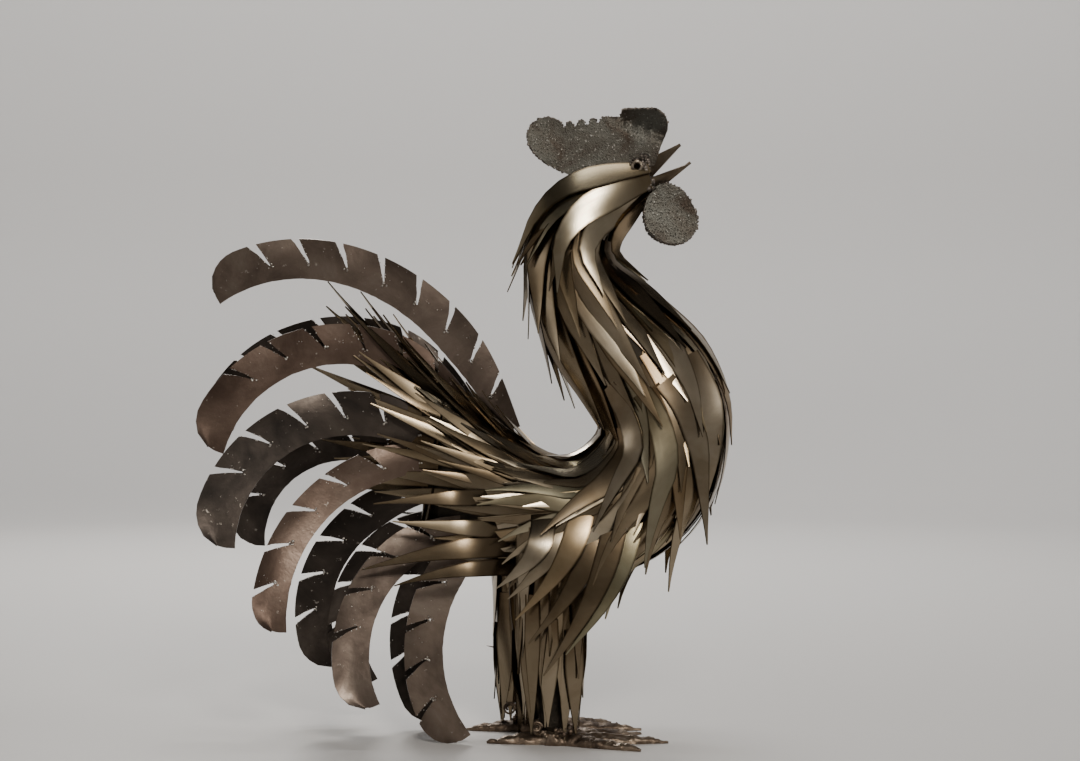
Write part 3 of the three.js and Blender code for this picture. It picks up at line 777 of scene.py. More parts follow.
def thick_sheet(name, mesh, thickness):
    """A flat mesh closed up, given its thickness evenly to both sides and made into a piece's mesh."""
    bmesh.ops.remove_doubles(mesh, verts=mesh.verts, dist=MERGE_REACH)
    bmesh.ops.dissolve_degenerate(mesh, edges=mesh.edges, dist=MERGE_REACH)
    bmesh.ops.recalc_face_normals(mesh, faces=mesh.faces)
    mesh.normal_update()
    for vert in mesh.verts:
        vert.co -= vert.normal * thickness / 2
    bmesh.ops.solidify(mesh, geom=mesh.faces[:], thickness=-thickness)
    bmesh.ops.recalc_face_normals(mesh, faces=mesh.faces)
    return finished_mesh(name, mesh, PLATE_CREASE_DEG)


def plate_steel(name, dark, middle, light):
    """Torch-cut plate: cloudy heat tints, fine scratches and bright grains of spatter."""
    material, tree, shader = new_material(name)
    shader.inputs["Metallic"].default_value = 0.9
    clouds = place_group(tree, mottle, Scale=13.0)
    tint = color_ramp(tree, clouds["Stain"], [(0.32, dark), (0.52, middle), (0.72, light)])
    grains = spread(tree, clouds["Fleck"], 0.66, 0.74, 0.0, 0.55)
    tint = blend_colors(tree, "MIX", grains, tint, (0.42, 0.38, 0.33))
    tree.links.new(tint, shader.inputs["Base Color"])
    tree.links.new(spread(tree, clouds["Stain"], 0.35, 0.7, 0.5, 0.3), shader.inputs["Roughness"])
    bump(tree, shader, clouds["Fleck"], 0.22, 0.0008)
    return material


# Copies of one torch-cut steel: dark is painted shade and light is painted light, while brown and red carry
# the sheet's own warmer tints
lit_and_shaded_tail_steels = {
    "dark": plate_steel(
        "painted_shade_tail_steel", (0.018, 0.015, 0.013), (0.046, 0.037, 0.031), (0.098, 0.08, 0.067)),
    "brown": plate_steel(
        "brown_tail_steel", (0.046, 0.034, 0.027), (0.10, 0.076, 0.061), (0.18, 0.145, 0.118)),
    "red": plate_steel(
        "red_brown_tail_steel", (0.045, 0.029, 0.022), (0.088, 0.061, 0.047), (0.145, 0.108, 0.086)),
    "light": plate_steel(
        "painted_light_tail_steel", (0.07, 0.053, 0.042), (0.15, 0.116, 0.092), (0.25, 0.205, 0.168)),
}
spatter_steel, tree, shader = new_material("bright_spatter_steel")
shader.inputs["Metallic"].default_value = 1.0
shader.inputs["Roughness"].default_value = 0.28
glints = place_group(tree, mottle, Scale=160.0)
spatter_tint = color_ramp(tree, glints["Stain"], [(0.35, (0.22, 0.19, 0.16)), (0.6, (0.72, 0.68, 0.62))])
tree.links.new(spatter_tint, shader.inputs["Base Color"])

FLOOR_DROPS = 4
FLOOR_DROP_REACH = 0.003
EDGE_DROPS = 3
EDGE_DROP_REACH = 0.001
EDGE_DROP_SPREAD = 2.2
FACE_DROPS = 3
spatter = Beads()
for node, (root, heading, curl, length, width, across, splay, plate_lighting_and_tint) in TAIL_FEATHERS.items():
    line = TailLine(root, heading, curl, length, width, across, splay)
    notches = int((line.round_from - FIRST_NOTCH) / NOTCH_PITCH) + 1
    rounding = math.sqrt(1 - (0.5 + NOTCH_FLOOR / 2) ** 2)
    closing = line.round_from + (length - line.round_from) * rounding
    sheet = bmesh.new()
    spine = []
    for n in range(notches + 1):
        before = FIRST_NOTCH + (n - 1) * NOTCH_PITCH
        after = FIRST_NOTCH + n * NOTCH_PITCH
        low = [before - NOTCH_SLANT + NOTCH_SLOT / 2 if n else 0.0,
               after - NOTCH_SLANT - NOTCH_SLOT / 2 if n < notches else closing]
        high = [before + NOTCH_MOUTH / 2 if n else 0.0,
                after - NOTCH_MOUTH / 2 if n < notches else closing]
        bend = (1 if n % 2 else -1) * BARB_BEND * torn.uniform(0.5, 1.5)
        twist = torn.uniform(-BARB_TWIST, BARB_TWIST)
        columns = []
        for i in range(BARB_COLUMNS + 1):
            p = i / BARB_COLUMNS
            foot, end = mix(*low, p), mix(*high, p)
            spine.append(foot)
            column = []
            for k in range(BARB_ROWS + 1):
                q = k / BARB_ROWS
                s = mix(foot, end, q)
                ragged = torn.uniform(-BARB_RAGGED, BARB_RAGGED) if k == BARB_ROWS else 0.0
                v = mix(NOTCH_FLOOR, max(NOTCH_FLOOR, line.top(s)), q)
                column.append(line.spot(s + ragged, v, (bend + twist * (p - 0.5)) * q * q))
            columns.append(column)
        grid_patch(sheet, columns)
        if n < notches:
            floor = line.spot(after - NOTCH_SLANT, NOTCH_FLOOR)
            for face in (-1, 1):
                lift = Vector((0, face * TAIL_PLATE / 2, 0))
                for _ in range(FLOOR_DROPS):
                    aside = torn.uniform(-FLOOR_DROP_REACH, FLOOR_DROP_REACH)
                    about = Vector((aside, 0, torn.uniform(-FLOOR_DROP_REACH, FLOOR_DROP_REACH)))
                    spatter.drop(floor + lift + about, torn.uniform(0.0008, 0.0017))
                for edge, way in ((low[1], -EDGE_DROP_REACH), (low[1] + NOTCH_SLOT, EDGE_DROP_REACH)):
                    for _ in range(EDGE_DROPS):
                        q = torn.uniform(0.1, 0.95)
                        s = edge + NOTCH_SLANT * q + way * (1 + EDGE_DROP_SPREAD * q)
                        lean = bend * q * q if way < 0 else -bend * q * q
                        sits = line.spot(s, mix(NOTCH_FLOOR, 1, q), lean)
                        spatter.drop(sits + lift, torn.uniform(0.0005, 0.0010))
                for _ in range(FACE_DROPS):
                    q = torn.uniform(0.2, 0.97)
                    s = torn.uniform(*low) + NOTCH_SLANT * q
                    sits = line.spot(s, mix(NOTCH_FLOOR, 1, q), bend * q * q)
                    spatter.drop(sits + lift, torn.uniform(0.0004, 0.0008))
    spine += [mix(closing, length, k / TIP_STEPS) for k in range(1, TIP_STEPS + 1)]
    edges = []
    for s in spine:
        high_edge = min(NOTCH_FLOOR, line.top(s))
        ragged = torn.uniform(-SPINE_RAGGED, SPINE_RAGGED)
        edges.append([line.spot(s, mix(-1 + (ragged if k == 0 else 0), high_edge, k / SPINE_ROWS))
                      for k in range(SPINE_ROWS + 1)])
    grid_patch(sheet, edges)
    plate = add_piece(f"{node}_plate", thick_sheet(f"{node}_plate", sheet, TAIL_PLATE), lit_and_shaded_tail_steels[plate_lighting_and_tint])
    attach(plate, "root")
    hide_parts(node)
tail_spatter = spatter.make("tail_spatter", spatter_steel)
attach(tail_spatter, "root")

# Comb: one pitted scrap plate, torch-cut with a round lobe behind, three teeth along the top
# and a taller lobe in front whose upper corner is folded over, with a rough melted rim
HEAD_PLATE = 0.0032
COMB_BACK_LOBE = (0.088, 0.660, 0.022)
COMB_FOOT = [
    (0.066, 0.660), (0.068, 0.652), (0.073, 0.644), (0.082, 0.635), (0.096, 0.6265),
    (0.114, 0.618), (0.150, 0.612), (0.205, 0.626), (0.213, 0.650), (0.2205, 0.668),
]
COMB_FRONT_TRIM = 0.0003
COMB_TEETH = 3
TOOTH_PITCH = 0.0128
TOOTH_HEIGHT = 0.006
TEETH_FROM = 0.106
TEETH_RIDGE = 0.670
RIDGE_END = TEETH_RIDGE + 0.005
TOOTH_GAP = 0.15
TOOTH_SHARE = 0.75
TOOTH_BLUNTNESS = 0.6
SHOULDER_TOP = 0.682
SHOULDER_RUN = 0.005
LOBE_RUN = 0.006
FRONT_LOBE_FROM = 0.166
FRONT_LOBE_TOP = 0.6905
LOBE_CORNER = 0.020
COMB_COLUMNS = 110
COMB_ROWS = 12
FOLD_FROM = (0.160, 0.684)
FOLD_TO = (0.2205, 0.660)
FOLD_STEEPNESS = 0.7
CREASE_WIDTH = 0.009
CREASE_SLOPE = 0.5
CREASE_RUN = (0.150, 0.175)
FRONT_LEAN = 0.004
FRONT_LEAN_RUN = (0.17, 0.22)
BACK_LEAN = 0.005
BACK_LEAN_RISE = (0.63, 0.68)
BACK_LEAN_RUN = (0.08, 0.13)
COMB_DENT = 0.0005
COMB_DENT_SCALE = 40

# Pits eaten into old scale, with glints of bare grain between them
pitting = bpy.data.node_groups.new("Scale pitting", "ShaderNodeTree")
pitting.interface.new_socket("Scale", in_out="INPUT", socket_type="NodeSocketFloat")
for socket in ("Pit", "Glint", "Height"):
    pitting.interface.new_socket(socket, in_out="OUTPUT", socket_type="NodeSocketFloat")
group_in = pitting.nodes.new("NodeGroupInput")
group_out = pitting.nodes.new("NodeGroupOutput")
where = pitting.nodes.new("ShaderNodeTexCoord")
pits = pitting.nodes.new("ShaderNodeTexVoronoi")
grit = add_node(pitting, "ShaderNodeTexNoise", Detail=4.0, Roughness=0.7)
for texture in (pits, grit):
    pitting.links.new(where.outputs["Object"], texture.inputs["Vector"])
    pitting.links.new(group_in.outputs["Scale"], texture.inputs["Scale"])
pitting.links.new(spread(pitting, pits.outputs["Distance"], 0.08, 0.26, 1.0, 0.0), group_out.inputs["Pit"])
pitting.links.new(spread(pitting, grit.outputs["Fac"], 0.62, 0.7, 0.0, 1.0), group_out.inputs["Glint"])
relief = add_node(pitting, "ShaderNodeMath", operation="ADD")
pitting.links.new(spread(pitting, pits.outputs["Distance"], 0.0, 0.4, 0.0, 0.6), relief.inputs[0])
pitting.links.new(grit.outputs["Fac"], relief.inputs[1])
pitting.links.new(relief.outputs[0], group_out.inputs["Height"])

pitted_steel, tree, shader = new_material("pitted_steel")
shader.inputs["Metallic"].default_value = 0.85
face_pits = place_group(tree, pitting, Scale=430.0)
rust = place_group(tree, mottle, Scale=26.0)
tint = color_ramp(tree, rust["Stain"], [
    (0.36, (0.036, 0.027, 0.020)), (0.48, (0.056, 0.051, 0.042)), (0.64, (0.072, 0.070, 0.060))])
tint = blend_colors(tree, "MIX", face_pits["Pit"], tint, (0.026, 0.021, 0.016))
tint = blend_colors(tree, "MIX", face_pits["Glint"], tint, (0.34, 0.33, 0.30))
tree.links.new(tint, shader.inputs["Base Color"])
tree.links.new(spread(tree, face_pits["Height"], 0.3, 1.0, 0.55, 0.4), shader.inputs["Roughness"])
bump(tree, shader, face_pits["Height"], 0.42, 0.0012)
melted_rim, tree, shader = new_material("melted_rim_steel")
shader.inputs["Metallic"].default_value = 0.9
shader.inputs["Roughness"].default_value = 0.42
slag = place_group(tree, mottle, Scale=120.0)
slag_tint = color_ramp(tree, slag["Stain"], [(0.4, (0.045, 0.036, 0.03)), (0.62, (0.23, 0.20, 0.17))])
tree.links.new(slag_tint, shader.inputs["Base Color"])
bump(tree, shader, slag["Fleck"], 0.3, 0.0008)


def comb_foot(x):
    for (x0, z0), (x1, z1) in zip(COMB_FOOT, COMB_FOOT[1:]):
        if x <= x1:
            return mix(z0, z1, max(0.0, (x - x0) / (x1 - x0)))
    return COMB_FOOT[-1][1]


def comb_top(x):
    """The upper edge: the back lobe, the teeth, a plain shoulder and the tall front lobe."""
    bx, bz, br = COMB_BACK_LOBE
    teeth_to = TEETH_FROM + COMB_TEETH * TOOTH_PITCH
    if x < TEETH_FROM:
        return bz + math.sqrt(max(0.0, br**2 - (x - bx) ** 2))
    if x < teeth_to:
        part = (x - TEETH_FROM) / TOOTH_PITCH % 1
        across = min(1.0, max(0.0, (part - TOOTH_GAP) / TOOTH_SHARE))
        tooth = math.sin(math.pi * across) ** TOOTH_BLUNTNESS
        ridge = mix(TEETH_RIDGE, RIDGE_END, (x - TEETH_FROM) / (teeth_to - TEETH_FROM))
        return ridge + TOOTH_HEIGHT * tooth
    if x < FRONT_LOBE_FROM:
        return mix(RIDGE_END, SHOULDER_TOP, ease(x, teeth_to, teeth_to + SHOULDER_RUN))
    into_lobe = mix(SHOULDER_TOP, FRONT_LOBE_TOP, ease(x, FRONT_LOBE_FROM, FRONT_LOBE_FROM + LOBE_RUN))
    rounding = max(0.0, x - (COMB_FOOT[-1][0] - LOBE_CORNER)) / LOBE_CORNER
    return into_lobe - LOBE_CORNER * (1 - math.sqrt(max(0.0, 1 - rounding * rounding)))


def comb_spot(x, z):
    """A point of the bent plate: the front lobe's upper corner leans out past the fold."""
    along = Vector((FOLD_TO[0] - FOLD_FROM[0], FOLD_TO[1] - FOLD_FROM[1])).normalized()
    past = along.x * (z - FOLD_FROM[1]) - along.y * (x - FOLD_FROM[0])
    lean = CREASE_SLOPE * min(CREASE_WIDTH, max(0.0, past + CREASE_WIDTH)) * ease(x, *CREASE_RUN)
    lean -= FOLD_STEEPNESS * max(0.0, past) + FRONT_LEAN * ease(x, *FRONT_LEAN_RUN)
    lean += BACK_LEAN * ease(z, *BACK_LEAN_RISE) * (1 - ease(x, *BACK_LEAN_RUN))
    dent = COMB_DENT * noise.noise(Vector((x, 0, z)) * COMB_DENT_SCALE)
    return Vector((x + ground_shift, lean + dent, z))


comb_sheet = bmesh.new()
comb_columns = []
rim = []
for i in range(COMB_COLUMNS + 1):
    x = mix(COMB_FOOT[0][0], COMB_FOOT[-1][0] - COMB_FRONT_TRIM, i / COMB_COLUMNS)
    low, high = comb_foot(x), comb_top(x)
    comb_columns.append([comb_spot(x, mix(low, high, k / COMB_ROWS)) for k in range(COMB_ROWS + 1)])
    rim.append(comb_columns[-1][-1])
grid_patch(comb_sheet, comb_columns)
comb = add_piece("comb_plate", thick_sheet("comb_plate", comb_sheet, HEAD_PLATE), pitted_steel)
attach(comb, "root")
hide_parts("comb")


RIM_PITCH = 0.0026
RIM_SCATTER = 0.35
COMB_RIM_LUMP = 0.0017
BACK_RIM_COLUMNS = 30


def melt_rim(beads, spots, pitch, radius):
    """Lumps of melted metal along an edge."""
    for a, b in zip(spots, spots[1:]):
        count = max(1, round((b - a).length / pitch))
        for k in range(count):
            about = Vector([torn.uniform(-1, 1) for _ in range(3)]) * radius * RIM_SCATTER
            beads.drop(a.lerp(b, k / count) + about, radius * torn.uniform(0.7, 1.2))


comb_beads = Beads()
back_rim = [column[0] for column in comb_columns[:BACK_RIM_COLUMNS]]
melt_rim(comb_beads, rim, RIM_PITCH, COMB_RIM_LUMP)
melt_rim(comb_beads, back_rim, RIM_PITCH, COMB_RIM_LUMP)
comb_rim = comb_beads.make("comb_rim", melted_rim)
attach(comb_rim, "root")

# Wattles: two round plates of the same pitted scrap, welded under the beak and spread a
# little apart, each with a melted rim
WATTLE_CENTRE = (0.227, 0.576)
WATTLE_RADIUS = 0.033
WATTLE_ACROSS = 0.007
WATTLE_SPLAY = 0.007
WATTLE_NARROWING = 0.72
WATTLE_LEAN = 0.009
WATTLE_RINGS = 9
WATTLE_SIDES = 48
WATTLE_RIM_LUMP = 0.0016
WATTLE_RAGGED = 0.025
WATTLE_RAGGED_SCALE = 2.2
WATTLE_DISH = 0.0015
WATTLE_DENT = 0.0004
WATTLE_DENT_SCALE = 45


def wattle_spot(side, angle, share):
    drop = (1 - math.sin(angle) * share) / 2
    rim_spot = Vector((math.cos(angle), math.sin(angle), side))
    reach = share * (1 + WATTLE_RAGGED * noise.noise(rim_spot * WATTLE_RAGGED_SCALE))
    x = WATTLE_CENTRE[0] + WATTLE_RADIUS * math.cos(angle) * reach * mix(WATTLE_NARROWING, 1, drop)
    z = WATTLE_CENTRE[1] + WATTLE_RADIUS * math.sin(angle) * reach
    dish = WATTLE_DISH * share * share
    dent = WATTLE_DENT * noise.noise(Vector((x, side, z)) * WATTLE_DENT_SCALE)
    y = side * (WATTLE_ACROSS + WATTLE_SPLAY * drop + dish) + dent
    return Vector((x - WATTLE_LEAN * (1 - drop) + ground_shift, y, z))


for side, node in ((-1, "right_wattle"), (1, "left_wattle")):
    disc = bmesh.new()
    spokes = []
    for i in range(WATTLE_SIDES + 1):
        angle = i / WATTLE_SIDES * 2 * math.pi
        spokes.append([wattle_spot(side, angle, k / WATTLE_RINGS) for k in range(WATTLE_RINGS + 1)])
    grid_patch(disc, spokes)
    wattle = add_piece(f"{node}_plate", thick_sheet(f"{node}_plate", disc, HEAD_PLATE), pitted_steel)
    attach(wattle, "root")
    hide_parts(node)
    wattle_beads = Beads()
    melt_rim(wattle_beads, [spoke[-1] for spoke in spokes], RIM_PITCH, WATTLE_RIM_LUMP)
    wattle_rim = wattle_beads.make(f"{node}_rim", melted_rim)
    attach(wattle_rim, "root")

# Beak: two spikes folded from plate, open on the inside, held by a rough row of weld
# down the face
BEAK_PLATE = 0.0016
BEAK_STEPS = 10
UPPER_BEAK = {"base": (0.197, 0.622), "tip": (0.235, 0.651), "half": 0.0095, "fold": 0.0165}
LOWER_BEAK = {"base": (0.205, 0.609), "tip": (0.246, 0.632), "half": 0.0085, "fold": -0.0140}
RIDGE_SHARE = 0.6
WING_SHARE = 0.5
BLUNT_POINT = 0.02

beak_steel, tree, shader = new_material("folded_beak_steel")
shader.inputs["Metallic"].default_value = 0.95
beak_stains = place_group(tree, mottle, Scale=34.0)
tint = color_ramp(tree, beak_stains["Stain"], [
    (0.35, (0.075, 0.055, 0.038)), (0.55, (0.14, 0.11, 0.078)), (0.7, (0.22, 0.185, 0.14))])
tree.links.new(tint, shader.inputs["Base Color"])
tree.links.new(spread(tree, beak_stains["Fleck"], 0.3, 0.7, 0.28, 0.46), shader.inputs["Roughness"])
bump(tree, shader, beak_stains["Fleck"], 0.12, 0.0006)

for name, beak in (("upper_beak", UPPER_BEAK), ("lower_beak", LOWER_BEAK)):
    base, tip = (Vector((x + ground_shift, 0, z)) for x, z in (beak["base"], beak["tip"]))
    axis = (tip - base).normalized()
    up = Vector((-axis.z, 0, axis.x))
    fold = bmesh.new()
    columns = []
    for i in range(BEAK_STEPS + 1):
        far = i / BEAK_STEPS
        share = max(BLUNT_POINT, 1 - far)
        middle = base.lerp(tip, far)
        ridge = middle + up * beak["fold"] * RIDGE_SHARE * share
        wings = [middle + Vector((0, side * beak["half"] * share, 0)) - up * beak["fold"] * WING_SHARE * share
                 for side in (-1, 1)]
        columns.append([wings[0], wings[0].lerp(ridge, 0.5), ridge, wings[1].lerp(ridge, 0.5), wings[1]])
    grid_patch(fold, columns)
    spike = add_piece(f"{name}_fold", thick_sheet(f"{name}_fold", fold, BEAK_PLATE), beak_steel)
    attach(spike, "root")
    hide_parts(name)

FACE_WELD_TOP = (0.1985, 0.638)
FACE_WELD_FOOT = (0.2075, 0.600)
FACE_WELD_PITCH = 0.0034
FACE_WELD_LUMP = 0.0030
FACE_LANES = (0.004, 0.0105, 0.0175)
LANE_SET_BACK = 0.4
face_beads = Beads()
for side in (-1, 1):
    for lane in FACE_LANES:
        top, foot = (
            Vector((x + ground_shift - lane * LANE_SET_BACK, side * lane, z))
            for x, z in (FACE_WELD_TOP, FACE_WELD_FOOT))
        melt_rim(face_beads, [top, top.lerp(foot, 0.5), foot], FACE_WELD_PITCH, FACE_WELD_LUMP)
face_weld = face_beads.make("face_weld", melted_rim)
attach(face_weld, "root")

# Eyes: a plain hexagon nut on each cheek, its corners chamfered and its thread worn away,
# held by a ring of small weld beads
EYE_AT = (0.186, 0.627)
EYE_ACROSS = 0.0145
NUT_FLATS = 0.013
NUT_HOLE = 0.0032
NUT_HEIGHT = 0.0052
NUT_SIDES = 48
NUT_CREASE_DEG = 25
NUT_MERGE_REACH = 0.00002
CHAMFER_SLOPE = 0.6
FACE_SHARE = 0.94
THREAD_SHARE = 0.85
MOUTH_FLARE = 1.25
SEAT_RADIUS = 0.0078
SEAT_LIFT = 0.0006
SEAT_STEPS = 16
SEAT_PITCH = 0.003
SEAT_LUMP = 0.0019

nut_steel, tree, shader = new_material("nut_steel")
shader.inputs["Metallic"].default_value = 1.0
nut_wear = place_group(tree, mottle, Scale=70.0)
tint = color_ramp(tree, nut_wear["Stain"], [(0.38, (0.07, 0.058, 0.045)), (0.62, (0.22, 0.19, 0.15))])
tree.links.new(tint, shader.inputs["Base Color"])
tree.links.new(spread(tree, nut_wear["Fleck"], 0.3, 0.7, 0.25, 0.45), shader.inputs["Roughness"])
bump(tree, shader, nut_wear["Fleck"], 0.15, 0.0005)



def eye_spot(side, angle, radius, height):
    """A point about an eye's middle, at a height over the cheek."""
    x = EYE_AT[0] + ground_shift + radius * math.cos(angle)
    return Vector((x, side * (EYE_ACROSS + height), EYE_AT[1] + radius * math.sin(angle)))


for side, node in ((-1, "right_eye_nut"), (1, "left_eye_nut")):
    ring = bmesh.new()
    columns = []
    for i in range(NUT_SIDES + 1):
        angle = i / NUT_SIDES * 2 * math.pi
        from_flat = (angle + math.pi / 6) % (math.pi / 3) - math.pi / 6
        corner = NUT_FLATS / 2 / math.cos(from_flat)
        top = NUT_HEIGHT - CHAMFER_SLOPE * max(0.0, corner - NUT_FLATS / 2)
        section = [
            (NUT_HOLE, 0), (NUT_HOLE, NUT_HEIGHT * THREAD_SHARE), (NUT_HOLE * MOUTH_FLARE, NUT_HEIGHT),
            (NUT_FLATS / 2 * FACE_SHARE, NUT_HEIGHT), (corner, top), (corner, 0), (NUT_HOLE, 0)]
        columns.append([eye_spot(side, angle, r, h) for r, h in section])
    grid_patch(ring, columns)
    bmesh.ops.remove_doubles(ring, verts=ring.verts, dist=NUT_MERGE_REACH)
    bmesh.ops.recalc_face_normals(ring, faces=ring.faces)
    nut = add_piece(f"{node}_ring", finished_mesh(f"{node}_ring", ring, NUT_CREASE_DEG), nut_steel)
    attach(nut, "root")
    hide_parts(node)
    eye_beads = Beads()
    turns = [2 * k * math.pi / SEAT_STEPS for k in range(SEAT_STEPS + 1)]
    seat = [eye_spot(side, angle, SEAT_RADIUS, SEAT_LIFT) for angle in turns]
    melt_rim(eye_beads, seat, SEAT_PITCH, SEAT_LUMP)
    eye_weld = eye_beads.make(f"{node}_weld", melted_rim)
    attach(eye_weld, "root")

# Feet: three front toes and a back toe cut from plate and built up with many passes of
# weld, so that their tops are lumpy and bronze-brown while the soles lie flat
FOOT_VOXEL = 0.0016
LUMP_HEIGHT = 0.0032
LUMP_SCALE = 95.0
RIPPLE_HEIGHT = 0.0009
RIPPLE_SCALE = 380.0
LUMP_SWELL = 0.25
SOLE_RISE = (0.0008, 0.004)

weld_steel, tree, shader = new_material("built_up_weld_steel")
shader.inputs["Metallic"].default_value = 0.9
weld_stains = place_group(tree, mottle, Scale=32.0)
tint = color_ramp(tree, weld_stains["Stain"], [
    (0.34, (0.07, 0.05, 0.037)), (0.5, (0.17, 0.125, 0.09)), (0.68, (0.30, 0.24, 0.18))])
sparks = spread(tree, weld_stains["Fleck"], 0.64, 0.72, 0.0, 0.6)
tint = blend_colors(tree, "MIX", sparks, tint, (0.45, 0.40, 0.33))
tree.links.new(tint, shader.inputs["Base Color"])
tree.links.new(spread(tree, weld_stains["Stain"], 0.35, 0.7, 0.52, 0.34), shader.inputs["Roughness"])
bump(tree, shader, weld_stains["Fleck"], 0.4, 0.0012)

for node in ("right_foot", "left_foot"):
    foot = add_piece(f"{node}_weld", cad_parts[node].data.copy())
    remesh = foot.modifiers.new("even_skin", "REMESH")
    remesh.mode = "VOXEL"
    remesh.voxel_size = FOOT_VOXEL
    evened = bpy.data.meshes.new_from_object(foot.evaluated_get(bpy.context.evaluated_depsgraph_get()))
    foot.modifiers.clear()
    foot.data = evened
    for vert in evened.vertices:
        spot = vert.co
        lump = LUMP_HEIGHT * (noise.noise(spot * LUMP_SCALE) + LUMP_SWELL)
        lump += RIPPLE_HEIGHT * noise.noise(spot * RIPPLE_SCALE)
        rise = ease(spot.z, *SOLE_RISE)
        vert.co = spot + vert.normal * lump * rise
        vert.co.z = max(0.0, vert.co.z)
    evened.materials.clear()
    evened.materials.append(weld_steel)
    evened.shade_smooth()
    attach(foot, "root")
    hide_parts(node)

# Ankle scrap: small curls of bent rod, a spike and lumps of weld that tie the leg blades
# to the feet
CURL_ROD = 0.0012
CURL_SIDES = 8
CURL_STEPS = 28
CURL_INSIDE = 0.45
CURL_PITCH = 0.004
CURLS = [
    ((0.047, 0.012, 0.029), 0.0075, 1.6), ((0.077, -0.058, 0.020), 0.006, 1.4),
    ((0.058, 0.046, 0.024), 0.0065, 1.5),
]


def bent_rod(name, spots, radius_at):
    """A round rod through spots, closed at both ends."""
    mesh = bmesh.new()
    rings = []
    for i, spot in enumerate(spots):
        ahead = (spots[min(i + 1, len(spots) - 1)] - spots[max(i - 1, 0)]).normalized()
        side = ahead.cross(Vector((0, 1, 0.2))).normalized()
        up = ahead.cross(side)
        radius = radius_at(i / (len(spots) - 1))
        rings.append([mesh.verts.new(spot + (side * math.cos(a) + up * math.sin(a)) * radius)
                      for a in (k / CURL_SIDES * 2 * math.pi for k in range(CURL_SIDES))])
    for low, high in zip(rings, rings[1:]):
        for k in range(CURL_SIDES):
            n = (k + 1) % CURL_SIDES
            mesh.faces.new((low[k], low[n], high[n], high[k]))
    mesh.faces.new(rings[0])
    mesh.faces.new(rings[-1])
    bmesh.ops.recalc_face_normals(mesh, faces=mesh.faces)
    return finished_mesh(name, mesh)


for k, ((x, y, z), radius, turns) in enumerate(CURLS):
    name = f"ankle_curl_{k + 1}"
    spots = []
    for i in range(CURL_STEPS + 1):
        angle = i / CURL_STEPS * turns * 2 * math.pi
        reach = radius * mix(1.0, CURL_INSIDE, i / CURL_STEPS)
        aside = y + CURL_PITCH * i / CURL_STEPS
        spots.append(Vector((x + ground_shift + reach * math.cos(angle), aside, z + reach * math.sin(angle))))
    curl = add_piece(name, bent_rod(name, spots, lambda far: CURL_ROD), weld_steel)
    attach(curl, "root")

SPIKE_FROM = (0.050, 0.050, 0.088)
SPIKE_TO = (0.020, 0.052, 0.094)
SPIKE_STEPS = 6
SPIKE_ROOT = 0.003
SPIKE_TAPER = 0.93
spike_spots = [
    Vector(SPIKE_FROM).lerp(Vector(SPIKE_TO), k / SPIKE_STEPS) + Vector((ground_shift, 0, 0))
    for k in range(SPIKE_STEPS + 1)]
spike_rod = bent_rod("left_leg_spike", spike_spots, lambda far: SPIKE_ROOT * (1 - SPIKE_TAPER * far))
leg_spike = add_piece("left_leg_spike", spike_rod, weld_steel)
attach(leg_spike, "root")
ANKLE_DROPS = 46
ankle_beads = Beads()
for x, y in ((RIGHT_FOOT_X, -LEG_STANCE), (LEFT_FOOT_X, LEG_STANCE)):
    for _ in range(ANKLE_DROPS):
        angle = torn.uniform(0, 2 * math.pi)
        reach = torn.uniform(0.016, 0.024)
        height = torn.uniform(0.009, 0.019)
        place = (x + ground_shift + reach * math.cos(angle), y + reach * math.sin(angle), height)
        ankle_beads.drop(place, torn.uniform(0.0018, 0.0036))
ankle_weld = ankle_beads.make("ankle_weld", weld_steel)
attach(ankle_weld, "root")

# Studio: a plain pale floor, painted matt, that turns up into a wall all round, under soft
# lights
FLOOR_RADIUS = 3.2
WALL_BEND = 0.9
WALL_TOP = 4.2
BEND_STEPS = 8
STUDIO_SIDES = 96
CENTRE_MERGE_REACH = 0.0001
profile = [(0.0, 0.0)]
for k in range(BEND_STEPS + 1):
    angle = k / BEND_STEPS * math.pi / 2
    profile.append((FLOOR_RADIUS + WALL_BEND * math.sin(angle), WALL_BEND - WALL_BEND * math.cos(angle)))
profile.append((FLOOR_RADIUS + WALL_BEND, WALL_TOP))
sweep = bmesh.new()
grid_patch(sweep, [
    [Vector((r * math.cos(turn), r * math.sin(turn), z)) for r, z in profile]
    for turn in (k / STUDIO_SIDES * 2 * math.pi for k in range(STUDIO_SIDES + 1))])
bmesh.ops.remove_doubles(sweep, verts=sweep.verts, dist=CENTRE_MERGE_REACH)
sweep_mesh = finished_mesh("studio_floor", sweep)
floor_paint, tree, shader = new_material("pale_floor")
shader.inputs["Base Color"].default_value = (0.60, 0.585, 0.57, 1)
shader.inputs["Roughness"].default_value = 0.6
add_piece("studio_floor", sweep_mesh, floor_paint)


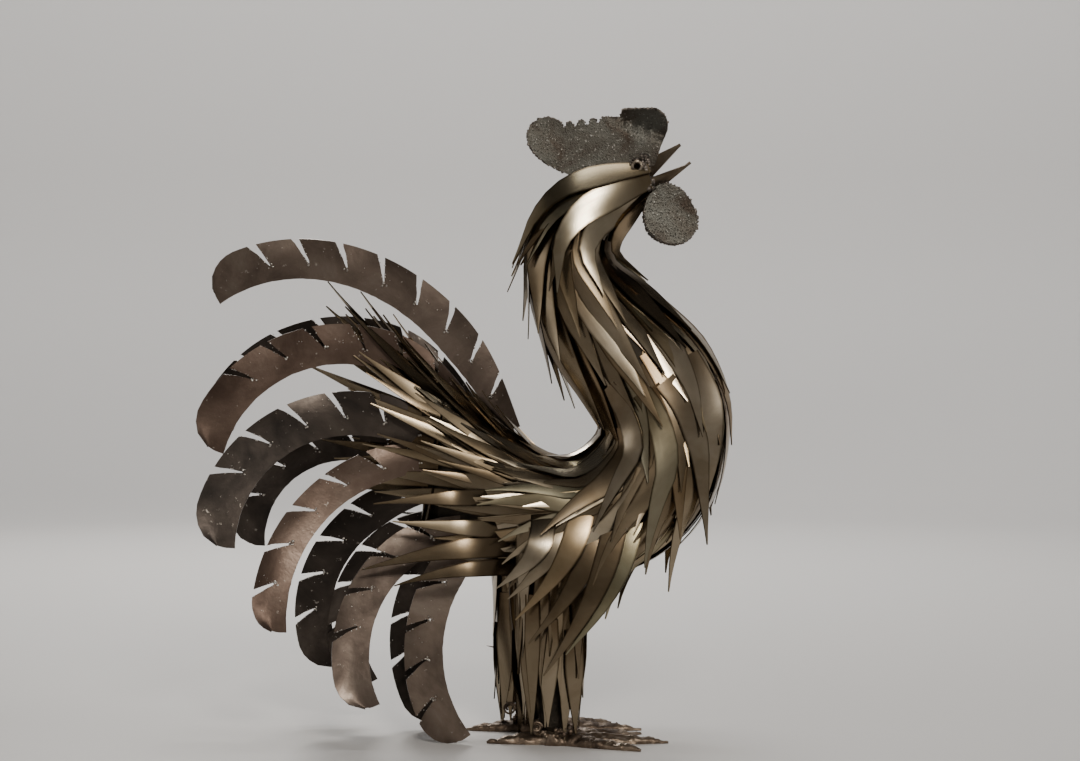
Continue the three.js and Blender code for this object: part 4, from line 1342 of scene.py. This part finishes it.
def softbox(name, place, aim, size, power, color=(1.0, 1.0, 1.0)):
    light = bpy.data.lights.new(name, "AREA")
    light.shape = "RECTANGLE"
    light.size, light.size_y = size
    light.energy = power
    light.color = color
    lamp = bpy.data.objects.new(name, light)
    lamp.location = place
    lamp.rotation_euler = (Vector(aim) - Vector(place)).to_track_quat("-Z", "Y").to_euler()
    lamp.visible_camera = False
    bpy.context.collection.objects.link(lamp)


BIRD_MIDDLE = (0.05, 0.0, 0.38)
softbox("key_light", (0.55, -2.7, 1.8), BIRD_MIDDLE, (0.7, 0.4), 48, (1.0, 0.95, 0.88))
softbox("fill_light", (-2.4, -1.5, 1.2), BIRD_MIDDLE, (0.5, 1.2), 4, (0.97, 0.98, 1.0))
softbox("rim_light", (2.2, -0.4, 1.3), BIRD_MIDDLE, (0.4, 1.0), 7, (1.0, 0.98, 0.95))
softbox("back_light", (-0.6, 2.6, 1.7), BIRD_MIDDLE, (0.7, 0.4), 26, (1.0, 0.96, 0.9))
softbox("top_light", (0.1, 0.3, 2.8), BIRD_MIDDLE, (1.2, 0.7), 17)
softbox("wall_light", (0.1, 1.6, 3.2), (0.1, 3.9, 0.9), (1.6, 0.5), 90)
world = bpy.data.worlds.new("studio")
bpy.context.scene.world = world
world.use_nodes = True
surroundings = world.node_tree.nodes["Background"]
surroundings.inputs["Color"].default_value = (0.20, 0.197, 0.193, 1)
surroundings.inputs["Strength"].default_value = 0.3

# Camera: it stands level with the bird's breast, square to its right side, and looks down
# a little
CAMERA_DISTANCE = 2.6
CAMERA_HEIGHT = 0.44
AIM_HEIGHT = 0.393
AIM_X = 0.0803 + ground_shift
LENS_MM = 78.8
SENSOR_MM = 36
camera_data = bpy.data.cameras.new("camera")
camera_data.lens = LENS_MM
camera_data.sensor_width = SENSOR_MM
camera_data.sensor_fit = "HORIZONTAL"
camera = bpy.data.objects.new("camera", camera_data)
camera.location = (AIM_X, -CAMERA_DISTANCE, CAMERA_HEIGHT)
sight = Vector((AIM_X, 0, AIM_HEIGHT)) - camera.location
camera.rotation_euler = sight.to_track_quat("-Z", "Y").to_euler()
bpy.context.collection.objects.link(camera)
bpy.context.scene.camera = camera
